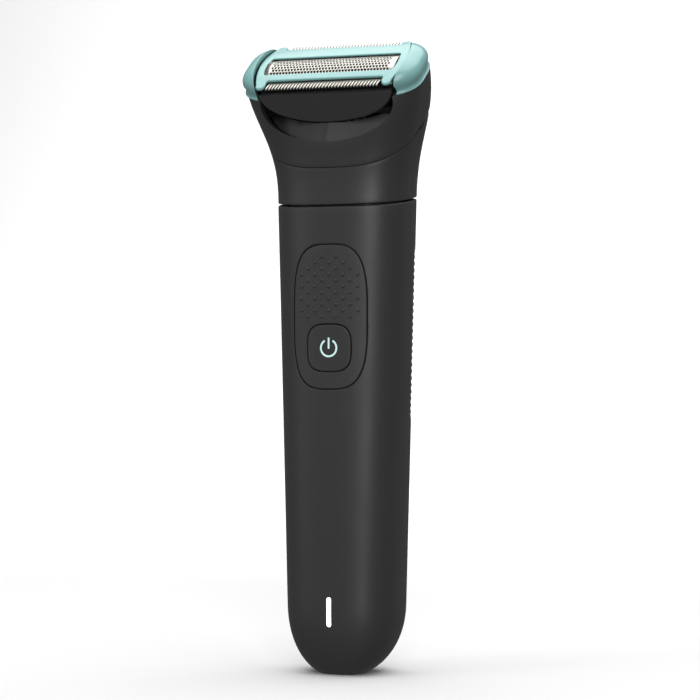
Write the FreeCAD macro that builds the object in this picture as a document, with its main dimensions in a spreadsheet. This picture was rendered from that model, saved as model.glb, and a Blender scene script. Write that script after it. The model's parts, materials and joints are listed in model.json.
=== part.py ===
import FreeCAD, Part
import functools
import math
import os
import re
import Sketcher

# Body groomer: a hand-held foil shaver with a trimmer on each side of the foil.
# Frame: +Z up the handle, the control side faces -Y, +X is to the right seen from the control
# side. The origin is where the drive's axis meets the plane that the handle stands on. Millimetres.
#
# The shaving unit on top leans forward by head_tilt about X. Its own axes are x, then "along"
# (front to back, down the slope) and "up" (out of the foil). They meet at the foil centre.

DIMENSIONS = {
    # Handle body
    "handle_top_half_width": 18.55,
    "handle_foot_half_width": 15.15,
    "handle_front": 14.0,
    "handle_top_back": 14.0,
    "handle_foot_back": 12.6,
    "foot_rise": 18.5,
    "foot_roundness": 2.2,
    "foot_flat_share": 0.4,
    "foot_shift": 5.0,
    "wall": 2.2,
    "skin": 1.5,
    # Seam between the handle and the head
    "seam_height": 127.6,
    "seam_tilt": 8.0,
    "seam_gap": 0.6,
    # Head outline: height, half width, front and back at six stations above the seam
    "neck_height": 135.0,
    "neck_half_width": 19.05,
    "neck_front": 14.15,
    "neck_back": 13.9,
    "collar_height": 142.5,
    "collar_half_width": 20.6,
    "collar_front": 15.5,
    "collar_back": 13.4,
    "brow_height": 149.0,
    "brow_half_width": 22.7,
    "brow_front": 17.2,
    "brow_back": 12.7,
    "cheek_height": 155.5,
    "cheek_half_width": 24.5,
    "cheek_front": 18.5,
    "cheek_back": 10.4,
    "crown_height": 163.0,
    "crown_half_width": 25.4,
    "crown_front": 19.4,
    "crown_back": 5.0,
    "peak_height": 174.0,
    "peak_half_width": 25.6,
    "peak_front": 20.0,
    "peak_back": -3.0,
    # Shaving unit: place of the foil centre and lean of the unit
    "head_tilt": 36.0,
    "head_front": 10.85,
    "head_height": 164.3,
    "unit_seam_front_height": 135.9,
    "unit_seam_tilt": 41.0,
    "cap_base_drop": 5.3,
    "parting": 0.3,
    # Front panel and the scoop under it
    "panel_half_width": 18.65,
    "panel_top_drop": 3.75,
    "panel_thickness": 1.6,
    "panel_foot": 148.0,
    "panel_foot_rise": 7.0,
    "scoop_foot": 142.6,
    "scoop_foot_rise": 10.0,
    "scoop_depth": 2.0,
    "scoop_half_width": 18.9,
    "scoop_crease": 0.24,
    "notch_height": 2.6,
    "notch_start": -6.5,
    "notch_depth": 1.9,
    # Side caps
    "cap_half_width": 25.5,
    "cap_half_length": 11.9,
    "cap_crown": 1.3,
    "cap_round": 5.4,
    "cap_gap_half_width": 21.2,
    "cap_gap_radius": 29.0,
    "cap_gap": 0.35,
    # Foil cassette
    "frame_half_length": 11.3,
    "frame_bar_front": 8.0,
    "frame_bar_back": 8.9,
    "frame_crown": 0.1,
    "frame_arch_radius": 60.0,
    "frame_depth": 2.5,
    "frame_skin": 0.75,
    "window_half_width": 18.7,
    "window_half_length": 4.25,
    "trimmer_half_width": 16.4,
    "foil_radius": 7.6,
    "foil_shift": 1.05,
    "foil_crown": 0.4,
    "foil_thickness": 0.12,
    "foil_half_length": 5.3,
    "carrier_half_width": 18.9,
    "carrier_half_length": 8.4,
    "carrier_foot": 6.2,
    "carrier_top": 3.0,
    "carrier_end_width": 11.2,
    "carrier_end_top": 1.75,
    "tooth_pitch": 0.9,
    "tooth_width": 0.42,
    "tooth_length": 2.2,
    "comb_thickness": 0.35,
    "comb_reach": 10.8,
    "comb_root": 6.6,
    "comb_drop": 1.62,
    "back_comb_reach": 11.3,
    "back_comb_drop": 1.72,
    "blade_inset": 0.9,
    "cradle_foot": 11.5,
    "cradle_thickness": 1.6,
    "cradle_front": 8.3,
    "cradle_hole_width": 14.0,
    "cradle_hole_length": 9.0,
    "spring_x": 14.0,
    "spring_radius": 1.35,
    "spring_wire": 0.2,
    "spring_height": 3.0,
    "spring_foot": 9.6,
    "spring_post_radius": 0.9,
    # Cutters
    "cutter_half_width": 17.4,
    "cutter_radius": 7.3,
    "cutter_travel": 0.8,
    "cutter_foot": 2.1,
    "yoke_half_width": 15.0,
    "yoke_thickness": 0.5,
    "beam_width": 5.4,
    "beam_foot": 5.0,
    "fork_half_gap": 2.6,
    "fork_half_width": 4.3,
    "fork_drop": 19.4,
    # Drive train
    "pin_offset": 0.8,
    "pin_radius": 0.9,
    "pin_top": 152.0,
    "disc_radius": 3.1,
    "disc_foot": 143.3,
    "disc_height": 1.2,
    "journal_radius": 2.5,
    "socket_radius": 3.6,
    "socket_foot": 134.2,
    "socket_top": 139.3,
    "socket_depth": 4.0,
    "socket_flat": 2.15,
    "bush_radius": 4.0,
    "bush_foot": 139.5,
    "bush_length": 3.5,
    "running_gap": 0.05,
    "hub_radius": 3.6,
    "hub_foot": 124.0,
    "hub_height": 6.0,
    "dog_flat": 1.95,
    "dog_height": 7.5,
    "shaft_radius": 1.0,
    "shaft_foot": 99.0,
    # Deck that closes the handle and carries the head
    "deck_foot": 121.0,
    "deck_thickness": 3.2,
    "deck_top": 133.4,
    "boss_half_width": 15.4,
    "boss_half_length": 10.7,
    "boss_corner": 9.0,
    "deck_bore": 4.6,
    "seal_height": 1.4,
    "screw_x": 10.6,
    "screw_y": 6.2,
    "screw_radius": 1.0,
    "screw_head_radius": 1.9,
    "screw_head_height": 1.3,
    "screw_seat": 124.6,
    "screw_length": 8.0,
    "clip_thickness": 0.4,
    "clip_width": 5.0,
    "clip_height": 5.0,
    # Motor, battery, chassis and electronics
    "motor_radius": 8.0,
    "motor_foot": 98.0,
    "motor_length": 20.0,
    "motor_neck_radius": 3.0,
    "motor_neck_height": 1.2,
    "battery_radius": 7.0,
    "battery_foot": 34.0,
    "battery_length": 49.0,
    "battery_y": 2.2,
    "nub_radius": 2.7,
    "nub_height": 1.0,
    "tab_thickness": 0.2,
    "chassis_half_width": 11.0,
    "chassis_front": 7.4,
    "chassis_back": 7.0,
    "chassis_foot": 30.8,
    "rail_width": 1.6,
    "board_half_width": 9.0,
    "board_foot": 14.0,
    "board_top": 97.0,
    "board_front": 8.8,
    "board_thickness": 1.2,
    # Controls
    "inlay_height": 96.0,
    "inlay_half_width": 10.3,
    "inlay_half_height": 19.15,
    "inlay_squareness": 3.3,
    "groove": 0.32,
    "button_height": 87.7,
    "button_half_width": 6.1,
    "button_half_height": 6.2,
    "button_squareness": 3.2,
    "button_thickness": 0.9,
    "symbol_radius": 2.35,
    "symbol_stroke": 0.42,
    "symbol_depth": 0.3,
    "stem_radius": 2.4,
    "stem_end": 11.65,
    "membrane_radius": 6.0,
    "membrane_front": 11.0,
    "membrane_thickness": 0.5,
    "switch_half_width": 3.0,
    "light_height": 17.3,
    "light_half_height": 3.95,
    "light_half_width": 0.62,
    "light_back": 9.9,
    # Back grip
    "grip_foot": 66.0,
    "grip_top": 117.0,
    "grip_front": 3.0,
    "grip_thickness": 1.2,
    "grip_corner": 8.0,
    # Charging inlet
    "inlet_y": -3.0,
    "inlet_half_width": 4.3,
    "inlet_half_depth": 2.9,
    "inlet_top": 12.0,
    "inlet_recess": 0.4,
    "socket_half_width": 3.2,
    "socket_half_depth": 1.8,
    "socket_hole_depth": 8.0,
    "contact_radius": 0.55,
    "contact_x": 1.4,
    "contact_foot": 3.0,
    "contact_length": 11.0,
}

SECTION_POINTS = 36
FOOT_SECTIONS = 7

doc = FreeCAD.newDocument("body_groomer")
sheet = doc.addObject("Spreadsheet::Sheet", "dims")
nodes = []


def fill_sheet():
    for row, (alias, value) in enumerate(DIMENSIONS.items(), start=1):
        sheet.set(f"A{row}", alias.replace("_", " "))
        sheet.set(f"B{row}", str(value))
        sheet.setAlias(f"B{row}", alias)
    doc.recompute()


def size(alias):
    return float(sheet.get(alias))


def formula(text):
    """Writes an expression with each driving dimension as a reference to its cell."""
    words = re.compile(r"[a-z][a-z_]*")
    return words.sub(lambda word: "dims." + word[0] if word[0] in DIMENSIONS else word[0], str(text))


def bind(thing, **expressions):
    for name, text in expressions.items():
        thing.setExpression(name, formula(text))
    return thing


def place(thing, x=0, y=0, z=0):
    for letter, text in zip("xyz", (x, y, z)):
        thing.setExpression(f"Placement.Base.{letter}", formula(text))
    return thing


def keep(thing, label):
    """Marks an object as a finished sub-part, whose label names its file."""
    thing.Label = label
    nodes.append(thing)
    return thing


def lean(thing):
    """Places an object that is drawn in the shaving unit's own axes."""
    thing.Placement = FreeCAD.Placement(FreeCAD.Vector(), FreeCAD.Rotation(FreeCAD.Vector(1, 0, 0), 1))
    place(thing, 0, "-head_front", "head_height")
    thing.setExpression("Placement.Rotation.Angle", formula("head_tilt"))
    return thing


def lean_placement():
    spot = FreeCAD.Vector(0, -size("head_front"), size("head_height"))
    return FreeCAD.Placement(spot, FreeCAD.Rotation(FreeCAD.Vector(1, 0, 0), size("head_tilt")))


# Primitives and booleans ------------------------------------------------------------------


def box(name, length, width, height, x=0, y=0, z=0):
    """A block centred on x and y, standing on z."""
    block = doc.addObject("Part::Box", name)
    bind(block, Length=length, Width=width, Height=height)
    return place(block, f"({x}) - ({length}) / 2", f"({y}) - ({width}) / 2", z)


def rod(name, radius, height, x=0, y=0, z=0, axis="z"):
    """A cylinder that starts at x, y, z and runs along its axis."""
    cylinder = doc.addObject("Part::Cylinder", name)
    turns = {"x": ((0, 1, 0), 90), "y": ((1, 0, 0), -90), "z": ((0, 0, 1), 0)}
    direction, angle = turns[axis]
    turn = FreeCAD.Rotation(FreeCAD.Vector(*direction), angle)
    cylinder.Placement = FreeCAD.Placement(FreeCAD.Vector(), turn)
    bind(cylinder, Radius=radius, Height=height)
    return place(cylinder, x, y, z)


def hexagon(name, flat, height, z):
    """A six-sided prism on the Z axis, flat being the distance from axis to side."""
    prism = doc.addObject("Part::Prism", name)
    prism.Polygon = 6
    bind(prism, Circumradius=f"({flat}) / cos(30)", Height=height)
    return place(prism, 0, 0, z)


def fuse(name, *pieces):
    joined = doc.addObject("Part::MultiFuse", name)
    joined.Shapes = list(pieces)
    joined.Refine = True
    return joined


def common(name, *pieces):
    shared = doc.addObject("Part::MultiCommon", name)
    shared.Shapes = list(pieces)
    return shared


def cut(name, base, *tools):
    tool = tools[0] if len(tools) == 1 else fuse(name + "_tools", *tools)
    result = doc.addObject("Part::Cut", name)
    result.Base = base
    result.Tool = tool
    return result


# Free-form outline ------------------------------------------------------------------------


def rounded_ring(half_width, front, back, middle, power_front, power_back, height):
    """A closed smooth outline at one height. It is a superellipse whose front and back halves
    may differ in depth and squareness; they meet at y = middle."""
    points = []
    for index in range(SECTION_POINTS):
        angle = 2 * math.pi * index / SECTION_POINTS
        across = math.cos(angle)
        along = math.sin(angle)
        power = power_back if along > 0 else power_front
        depth = back - middle if along > 0 else front + middle
        x = half_width * math.copysign(abs(across) ** (2 / power), across)
        y = middle + depth * math.copysign(abs(along) ** (2 / power), along)
        points.append(FreeCAD.Vector(x, y, height))
    curve = Part.BSplineCurve()
    curve.interpolate(points, PeriodicFlag=True)
    return Part.Wire(curve.toShape())


def handle_ring(height, inward, share=1.0):
    """The handle's outline at a height, moved inward. Share shrinks it for the rounded foot, whose
    lowest part lies in front of the axis."""
    rise = height / size("seam_height")
    width = size("handle_foot_half_width")
    width += (size("handle_top_half_width") - width) * rise
    back = size("handle_foot_back") + (size("handle_top_back") - size("handle_foot_back")) * rise
    front = size("handle_front")
    middle = -size("foot_shift") * (1 - share)
    return rounded_ring(
        share * (width - inward),
        share * (front - inward) - middle,
        share * (back - inward) + middle,
        middle,
        2.7,
        2.7,
        height,
    )


def foot_rings(inward):
    """Outlines that round the foot off into a flat."""
    roundness = 2 / size("foot_roundness")
    rise = size("foot_rise") - inward
    start = math.asin(size("foot_flat_share") ** (1 / roundness))
    rings = []
    for index in range(FOOT_SECTIONS):
        angle = start + (math.pi / 2 - start) * index / FOOT_SECTIONS
        drop = math.cos(angle) ** roundness / math.cos(start) ** roundness
        height = inward + rise * (1 - drop)
        rings.append(handle_ring(height, inward, math.sin(angle) ** roundness))
    return rings


# Squareness of the front and back halves and the meeting line, from the seam to the peak.
STATIONS = {
    "neck": (2.8, 2.7, -0.2),
    "collar": (3.1, 2.7, -1.2),
    "brow": (3.5, 2.6, -2.8),
    "cheek": (3.9, 2.6, -5.0),
    "crown": (4.0, 2.8, -8.0),
    "peak": (4.0, 3.0, -11.5),
}


def head_rings(inward):
    rings = []
    for station, (power_front, power_back, middle) in STATIONS.items():
        rings.append(
            rounded_ring(
                size(station + "_half_width") - inward,
                size(station + "_front") - inward,
                size(station + "_back") - inward,
                middle,
                power_front,
                power_back,
                size(station + "_height"),
            )
        )
    return rings


@functools.lru_cache(maxsize=None)
def outer_blank(inward=0.0):
    """The whole outside of the groomer as one solid, moved inward by a wall."""
    heights = [size("foot_rise") + step * (size("seam_height") - size("foot_rise")) / 4 for step in range(5)]
    rings = foot_rings(inward)
    rings += [handle_ring(height, inward) for height in heights]
    rings += head_rings(inward)
    return Part.makeLoft(rings, True, False)


def half_space(point, normal, keep_above):
    """A large block on one side of a plane."""
    reach = 200.0
    face = Part.makePlane(
        2 * reach, 2 * reach, FreeCAD.Vector(-reach, -reach, 0), FreeCAD.Vector(0, 0, 1)
    )
    block = face.extrude(FreeCAD.Vector(0, 0, reach if keep_above else -reach))
    block.Placement = FreeCAD.Placement(point, FreeCAD.Rotation(FreeCAD.Vector(0, 0, 1), normal))
    return block


def seam_side(above, shift):
    angle = math.radians(size("seam_tilt"))
    normal = FreeCAD.Vector(0, -math.sin(angle), math.cos(angle))
    return half_space(FreeCAD.Vector(0, 0, size("seam_height")) + normal * shift, normal, above)


def unit_side(above, up):
    """A block above or below a plane parallel to the foil, up from the foil centre."""
    normal = lean_placement().Rotation.multVec(FreeCAD.Vector(0, 0, 1))
    point = lean_placement().multVec(FreeCAD.Vector(0, 0, up))
    return half_space(point, normal, above)


def unit_seam_side(above, shift):
    """A block above or below the parting line between the neck and the shaving unit."""
    angle = math.radians(size("unit_seam_tilt"))
    normal = FreeCAD.Vector(0, -math.sin(angle), math.cos(angle))
    front = FreeCAD.Vector(0, -size("handle_front"), size("unit_seam_front_height"))
    return half_space(front + normal * shift, normal, above)


def squircle_prism(half_width, half_height, power, height, front, back):
    """A rounded prism along Y, centred on x = 0 at a height."""
    points = []
    for index in range(SECTION_POINTS):
        angle = 2 * math.pi * index / SECTION_POINTS
        x = half_width * math.copysign(abs(math.cos(angle)) ** (2 / power), math.cos(angle))
        z = half_height * math.copysign(abs(math.sin(angle)) ** (2 / power), math.sin(angle))
        points.append(FreeCAD.Vector(x, front, height + z))
    curve = Part.BSplineCurve()
    curve.interpolate(points, PeriodicFlag=True)
    face = Part.Face(Part.Wire(curve.toShape()))
    return face.extrude(FreeCAD.Vector(0, back - front, 0))


def slot_prism(half_width, half_height, height, front, back):
    """A prism along Y with two straight sides and round ends."""
    straight = half_height - half_width
    slab = Part.makeBox(
        2 * half_width, back - front, 2 * straight, FreeCAD.Vector(-half_width, front, height - straight)
    )
    along = FreeCAD.Vector(0, 1, 0)
    for end in (-straight, straight):
        centre = FreeCAD.Vector(0, front, height + end)
        slab = slab.fuse(Part.makeCylinder(half_width, back - front, centre, along))
    return slab.removeSplitter()


def feature(label, shape):
    """A sub-part made with shape functions, because no primitive or sketch gives its surface."""
    solids = shape.Solids
    thing = doc.addObject("Part::Feature", label)
    thing.Shape = solids[0] if len(solids) == 1 else Part.makeCompound(solids)
    return keep(thing, label)


# Handle shell and what is let into it -------------------------------------------------------


def inlay_prism(grow):
    return squircle_prism(
        size("inlay_half_width") + grow, size("inlay_half_height") + grow, size("inlay_squareness"),
        size("inlay_height"), -30, 0,
    )


def button_prism(grow):
    return squircle_prism(
        size("button_half_width") + grow, size("button_half_height") + grow, size("button_squareness"),
        size("button_height"), -30, 0,
    )


def light_prism(grow):
    return slot_prism(
        size("light_half_width") + grow, size("light_half_height") + grow, size("light_height"),
        -30, -size("light_back"),
    )


def stem(radius, front, back):
    start = FreeCAD.Vector(0, -front, size("button_height"))
    return Part.makeCylinder(radius, front - back, start, FreeCAD.Vector(0, 1, 0))


def grip_prism(grow):
    """The region of the back that the rubber grip covers, as a rounded block."""
    height = size("grip_top") - size("grip_foot") + 2 * grow
    front = size("grip_front") - grow
    corner = FreeCAD.Vector(-40, front, size("grip_foot") - grow)
    block = Part.makeBox(80, 40, height, corner)
    lengthwise = [
        edge for edge in block.Edges if abs(edge.tangentAt(0).x) > 0.9 and edge.CenterOfMass.y < front + 1
    ]
    return block.makeFillet(size("grip_corner"), lengthwise)


def inlet_block(grow):
    width = size("inlet_half_width") + grow
    depth = size("inlet_half_depth") + grow
    corner = FreeCAD.Vector(-width, size("inlet_y") - depth, -10)
    block = Part.makeBox(2 * width, 2 * depth, 40, corner)
    return block.makeFillet(depth * 0.95, [edge for edge in block.Edges if abs(edge.tangentAt(0).z) > 0.9])


def handle_shell():
    """One-piece handle cup with the recesses for the inlay and the grip."""
    shell = outer_blank().cut(outer_blank(size("wall")))
    shell = shell.common(seam_side(False, -size("seam_gap") / 2))
    pocket = outer_blank().cut(outer_blank(size("skin")))
    shell = shell.cut(pocket.common(inlay_prism(size("groove"))))
    grip_pocket = outer_blank().cut(outer_blank(size("grip_thickness")))
    shell = shell.cut(grip_pocket.common(grip_prism(0.0)))
    shell = shell.cut(stem(size("stem_radius") + 1.0, 30, 5))
    shell = shell.cut(light_prism(0.0))
    below = half_space(FreeCAD.Vector(0, 0, 8), FreeCAD.Vector(0, 0, 1), False)
    shell = shell.cut(inlet_block(0.0).common(below))
    feature("handle_shell", shell)


def control_inlay():
    """Soft inlay on the front, with the hole for the button."""
    layer = outer_blank().cut(outer_blank(size("skin"))).common(inlay_prism(0.0))
    feature("control_inlay", layer.cut(button_prism(size("groove"))))


def power_button():
    """Button cap, its stem and the well for the symbol insert."""
    cap = outer_blank().common(button_prism(0.0))
    cap = cap.cut(outer_blank(size("button_thickness")))
    post = stem(size("stem_radius"), size("handle_front") - 0.5, size("stem_end"))
    button = cap.fuse(post.common(outer_blank(0.5))).removeSplitter()
    button = button.cut(symbol_shape())
    feature("power_button", button)


def symbol_shape():
    """The stand-by mark: a ring open at the top and a short bar."""
    front = size("handle_front") + 1.0
    back = size("handle_front") - size("symbol_depth")
    centre = FreeCAD.Vector(0, -front, size("button_height"))
    along = FreeCAD.Vector(0, 1, 0)
    depth = front - back
    half = size("symbol_stroke") / 2
    ring = Part.makeCylinder(size("symbol_radius") + half, depth, centre, along)
    ring = ring.cut(Part.makeCylinder(size("symbol_radius") - half, depth, centre, along))
    opening = 0.62 * size("symbol_radius")
    top = FreeCAD.Vector(-opening, -front, size("button_height") + 0.3)
    ring = ring.cut(Part.makeBox(2 * opening, depth, 2 * size("symbol_radius"), top))
    bar = Part.makeBox(2 * half, depth, 2.9, FreeCAD.Vector(-half, -front, size("button_height") - 0.3))
    return Part.makeCompound([ring, bar])


def power_symbol():
    """Two-shot insert that fills the mark in the button."""
    pieces = [solid.common(outer_blank()) for solid in symbol_shape().Solids]
    feature("power_symbol", Part.makeCompound(pieces))


def button_membrane():
    """Silicone seal behind the button's hole, rim against the shell."""
    front = size("membrane_front")
    sheet_part = stem(size("membrane_radius"), front, front - size("membrane_thickness"))
    rim = stem(size("membrane_radius"), 20, front)
    rim = rim.cut(stem(size("membrane_radius") - 1.2, 20, front))
    rim = rim.common(outer_blank(size("wall") + 0.02))
    feature("button_membrane", sheet_part.fuse(rim).removeSplitter())


def light_pipe():
    """Clear bar that carries the charge light to the surface."""
    feature("light_pipe", outer_blank().common(light_prism(-0.02)))


def back_grip():
    """Rubber pad around the back half of the handle."""
    layer = outer_blank().cut(outer_blank(size("grip_thickness")))
    feature("back_grip", layer.common(grip_prism(-0.05)))


# Deck, seals and screws ---------------------------------------------------------------------


def coupling_deck():
    """Plate that closes the handle, with the boss that the head slides onto."""
    plate = outer_blank(size("wall") + 0.05)
    top = size("deck_foot") + size("deck_thickness")
    slab = Part.makeBox(60, 60, size("deck_thickness"), FreeCAD.Vector(-30, -30, size("deck_foot")))
    plate = plate.common(slab)
    groove = Part.makeBox(60, 60, size("seal_height"), FreeCAD.Vector(-30, -30, size("deck_foot") + 0.8))
    plate = plate.cut(groove.cut(outer_blank(size("wall") + 1.0)))
    width = size("boss_half_width")
    length = size("boss_half_length")
    boss = Part.makeBox(2 * width, 2 * length, size("deck_top") - top, FreeCAD.Vector(-width, -length, top))
    upright = [edge for edge in boss.Edges if abs(edge.tangentAt(0).z) > 0.9]
    boss = boss.makeFillet(size("boss_corner"), upright)
    rim = [edge for edge in boss.Edges if edge.BoundBox.ZMin > size("deck_top") - 0.01]
    deck = plate.fuse(boss.makeChamfer(0.8, rim)).removeSplitter()
    deck = deck.cut(Part.makeCylinder(size("deck_bore"), 40, FreeCAD.Vector(0, 0, 110)))
    for x in (-size("screw_x"), size("screw_x")):
        for y in (-size("screw_y"), size("screw_y")):
            well = FreeCAD.Vector(x, y, size("screw_seat"))
            deck = deck.cut(Part.makeCylinder(size("screw_head_radius") + 0.2, 40, well))
            hole = well - FreeCAD.Vector(0, 0, 20)
            deck = deck.cut(Part.makeCylinder(size("screw_radius") + 0.15, 40, hole))
    feature("coupling_deck", deck)


def deck_seal():
    """Ring in the deck's groove that keeps water out of the handle."""
    foot = size("deck_foot") + 0.85
    slab = Part.makeBox(60, 60, size("seal_height") - 0.1, FreeCAD.Vector(-30, -30, foot))
    ring = outer_blank(size("wall") + 0.03).cut(outer_blank(size("wall") + 0.95))
    feature("deck_seal", ring.common(slab))


def new_body(label):
    return keep(doc.addObject("PartDesign::Body", label), label)


def draw_on(body, role, height="0"):
    """A sketch on one of the body's own origin planes, moved off it by a height."""
    plane = next(item for item in body.Origin.OriginFeatures if item.Role == role)
    sketch = body.newObject("Sketcher::SketchObject", body.Name + "_sketch")
    sketch.AttachmentSupport = [(plane, "")]
    sketch.MapMode = "FlatFace"
    sketch.setExpression("AttachmentOffset.Base.z", formula(height))
    return sketch


def circle(sketch, radius, x=0, y=0):
    """A circle whose radius and centre are bound to the sheet."""
    index = sketch.addGeometry(Part.Circle(FreeCAD.Vector(1, 1, 0), FreeCAD.Vector(0, 0, 1), 1))
    first = sketch.addConstraint(Sketcher.Constraint("Radius", index, 1))
    sketch.setExpression(f"Constraints[{first}]", formula(radius))
    for kind, text in (("DistanceX", x), ("DistanceY", y)):
        if str(text) == "0":
            line = -2 if kind == "DistanceX" else -1
            sketch.addConstraint(Sketcher.Constraint("PointOnObject", index, 3, line))
            continue
        number = sketch.addConstraint(Sketcher.Constraint(kind, -1, 1, index, 3, 1))
        sketch.setExpression(f"Constraints[{number}]", formula(text))
    return index


def rectangle(sketch, left, right, low, high):
    """A rectangle whose four sides are bound to the sheet."""
    corners = [(-1, -1), (1, -1), (1, 1), (-1, 1)]
    lines = []
    for start, end in zip(corners, corners[1:] + corners[:1]):
        line = Part.LineSegment(FreeCAD.Vector(*start, 0), FreeCAD.Vector(*end, 0))
        lines.append(sketch.addGeometry(line))
    for index, line in enumerate(lines):
        sketch.addConstraint(Sketcher.Constraint("Coincident", line, 2, lines[(index + 1) % 4], 1))
        sketch.addConstraint(Sketcher.Constraint("Horizontal" if index % 2 == 0 else "Vertical", line))
    for kind, corner, point, text in (
        ("DistanceX", lines[0], 1, left), ("DistanceX", lines[0], 2, right),
        ("DistanceY", lines[0], 1, low), ("DistanceY", lines[2], 1, high),
    ):
        value = 1 if text in (right, high) else -1
        number = sketch.addConstraint(Sketcher.Constraint(kind, -1, 1, corner, point, value))
        sketch.setExpression(f"Constraints[{number}]", formula(text))
    return lines


def pad(body, sketch, length, name="pad"):
    made = body.newObject("PartDesign::Pad", f"{body.Name}_{name}")
    made.Profile = sketch
    made.setExpression("Length", formula(length))
    sketch.Visibility = False
    return made


def pocket(body, sketch, length, towards_minus=True):
    made = body.newObject("PartDesign::Pocket", body.Name + "_pocket")
    made.Profile = sketch
    made.setExpression("Length", formula(length))
    made.Reversed = not towards_minus
    return made


def disc_stack(label, steps):
    """A turned piece: circles padded one on another. Each step is radius, foot, height."""
    body = new_body(label)
    for radius, foot, height in steps:
        sketch = draw_on(body, "XY_Plane", foot)
        circle(sketch, radius)
        pad(body, sketch, height)
    return body


def shaft_seal():
    """Lip seal between the hub and the deck's bore."""
    ring = rod("shaft_seal_ring", "deck_bore", 1.6, z="deck_foot + 6.2")
    bore = rod("shaft_seal_bore", "hub_radius + 0.1", 4, z="deck_foot + 5")
    keep(cut("shaft_seal", ring, bore), "shaft_seal")


def deck_screws():
    """Four screws that hold the deck on the chassis."""
    screws = []
    for index, (right, back) in enumerate(((1, 1), (1, -1), (-1, -1), (-1, 1))):
        spot = {"x": f"{right} * screw_x", "y": f"{back} * screw_y"}
        head = rod(f"screw_head_{index}", "screw_head_radius", "screw_head_height", z="screw_seat", **spot)
        shank = rod(
            f"screw_shank_{index}", "screw_radius", "screw_length", z="screw_seat - screw_length", **spot
        )
        drive = box(f"screw_drive_{index}", 2.4, 0.5, 0.6, z="screw_seat + screw_head_height - 0.6", **spot)
        cross = box(f"screw_cross_{index}", 0.5, 2.4, 0.6, z="screw_seat + screw_head_height - 0.6", **spot)
        screws.append(cut(f"screw_{index}", fuse(f"screw_blank_{index}", head, shank), drive, cross))
    group = doc.addObject("Part::Compound", "deck_screws")
    group.Links = screws
    keep(group, "deck_screws")


# Chassis, motor, battery and electronics ----------------------------------------------------


def chassis():
    """Inner frame: two rails, cross walls for the battery and the motor, and a top plate."""
    depth = "chassis_front + chassis_back"
    middle = "(chassis_back - chassis_front) / 2"
    rail_x = "chassis_half_width - rail_width / 2"
    top = "deck_foot - chassis_foot"
    pieces = [
        box(f"rail_{side}", "rail_width", depth, top, f"{sign}({rail_x})", middle, "chassis_foot")
        for side, sign in (("a", ""), ("b", "-"))
    ]
    walls = {
        "foot_wall": ("chassis_foot", "battery_foot - tab_thickness - chassis_foot"),
        "middle_wall": ("battery_foot + battery_length + nub_height + tab_thickness", "2.2"),
        "motor_wall": ("motor_foot - 2.4", "2.4"),
        "top_plate": ("motor_foot + motor_length", "deck_foot - motor_foot - motor_length"),
    }
    for name, (foot, height) in walls.items():
        pieces.append(box(name, "2 * chassis_half_width", depth, height, 0, middle, foot))
    for index, (right, back) in enumerate(((1, 1), (1, -1), (-1, -1), (-1, 1))):
        pieces.append(
            rod(f"screw_boss_{index}", 2.2, 7.5, f"{right} * screw_x", f"{back} * screw_y", "deck_foot - 7.5")
        )
    frame = fuse("chassis_blank", *pieces)
    bore = rod("chassis_bore", "motor_neck_radius + 0.3", 20, z="deck_foot - 6")
    pilots = [
        rod(f"pilot_{index}", "screw_radius", 12, f"{right} * screw_x", f"{back} * screw_y", "deck_foot - 11.9")
        for index, (right, back) in enumerate(((1, 1), (1, -1), (-1, -1), (-1, 1)))
    ]
    board_slot = box(
        "board_slot", "2 * board_half_width + 0.2", 6, 200, 0, "-board_front - 3 + board_thickness + 0.1", 0
    )
    keep(cut("chassis", frame, bore, board_slot, *pilots), "chassis")


def motor_can():
    """Motor case with its bearing neck."""
    body = disc_stack(
        "motor_can",
        [
            ("motor_radius", "motor_foot", "motor_length"),
            ("motor_neck_radius", "motor_foot + motor_length", "motor_neck_height"),
        ],
    )
    hole = draw_on(body, "XY_Plane", "motor_foot + motor_length + motor_neck_height")
    circle(hole, "shaft_radius + running_gap")
    pocket(body, hole, "motor_length + motor_neck_height - 0.8")


def motor_shaft():
    """Steel shaft between the motor and the drive hub."""
    disc_stack("motor_shaft", [("shaft_radius", "shaft_foot", "hub_foot + 4 - shaft_foot")])


def drive_hub():
    """Coupling on the motor shaft, with a six-sided dog on top."""
    barrel = rod("hub_barrel", "hub_radius", "hub_height", z="hub_foot")
    dog = hexagon("hub_dog", "dog_flat", "dog_height", "hub_foot + hub_height")
    bore = rod("hub_bore", "shaft_radius", 4, z="hub_foot")
    keep(cut("drive_hub", fuse("hub_blank", barrel, dog), bore), "drive_hub")


def battery():
    """Rechargeable cell with its raised pole."""
    body = new_body("battery")
    for radius, foot, height in (
        ("battery_radius", "battery_foot", "battery_length"),
        ("nub_radius", "battery_foot + battery_length", "nub_height"),
    ):
        sketch = draw_on(body, "XY_Plane", foot)
        circle(sketch, radius, 0, "battery_y")
        pad(body, sketch, height)


def battery_tabs():
    """Nickel strips from the two poles to the board."""
    strips = []
    for name, foot in (
        ("low_tab", "battery_foot - tab_thickness"),
        ("high_tab", "battery_foot + battery_length + nub_height"),
    ):
        strips.append(
            box(name, 4, "board_front - board_thickness + battery_y + 2", "tab_thickness", 0,
                "(battery_y + 2 - board_front + board_thickness) / 2", foot)
        )
    group = doc.addObject("Part::Compound", "battery_tabs")
    group.Links = strips
    keep(group, "battery_tabs")


def circuit_board():
    """Board that carries the switch, the charge light and the charging circuit."""
    body = new_body("circuit_board")
    sketch = draw_on(body, "XZ_Plane", "board_front - board_thickness")
    rectangle(sketch, "-board_half_width", "board_half_width", "board_foot", "board_top")
    pad(body, sketch, "board_thickness")


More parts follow.
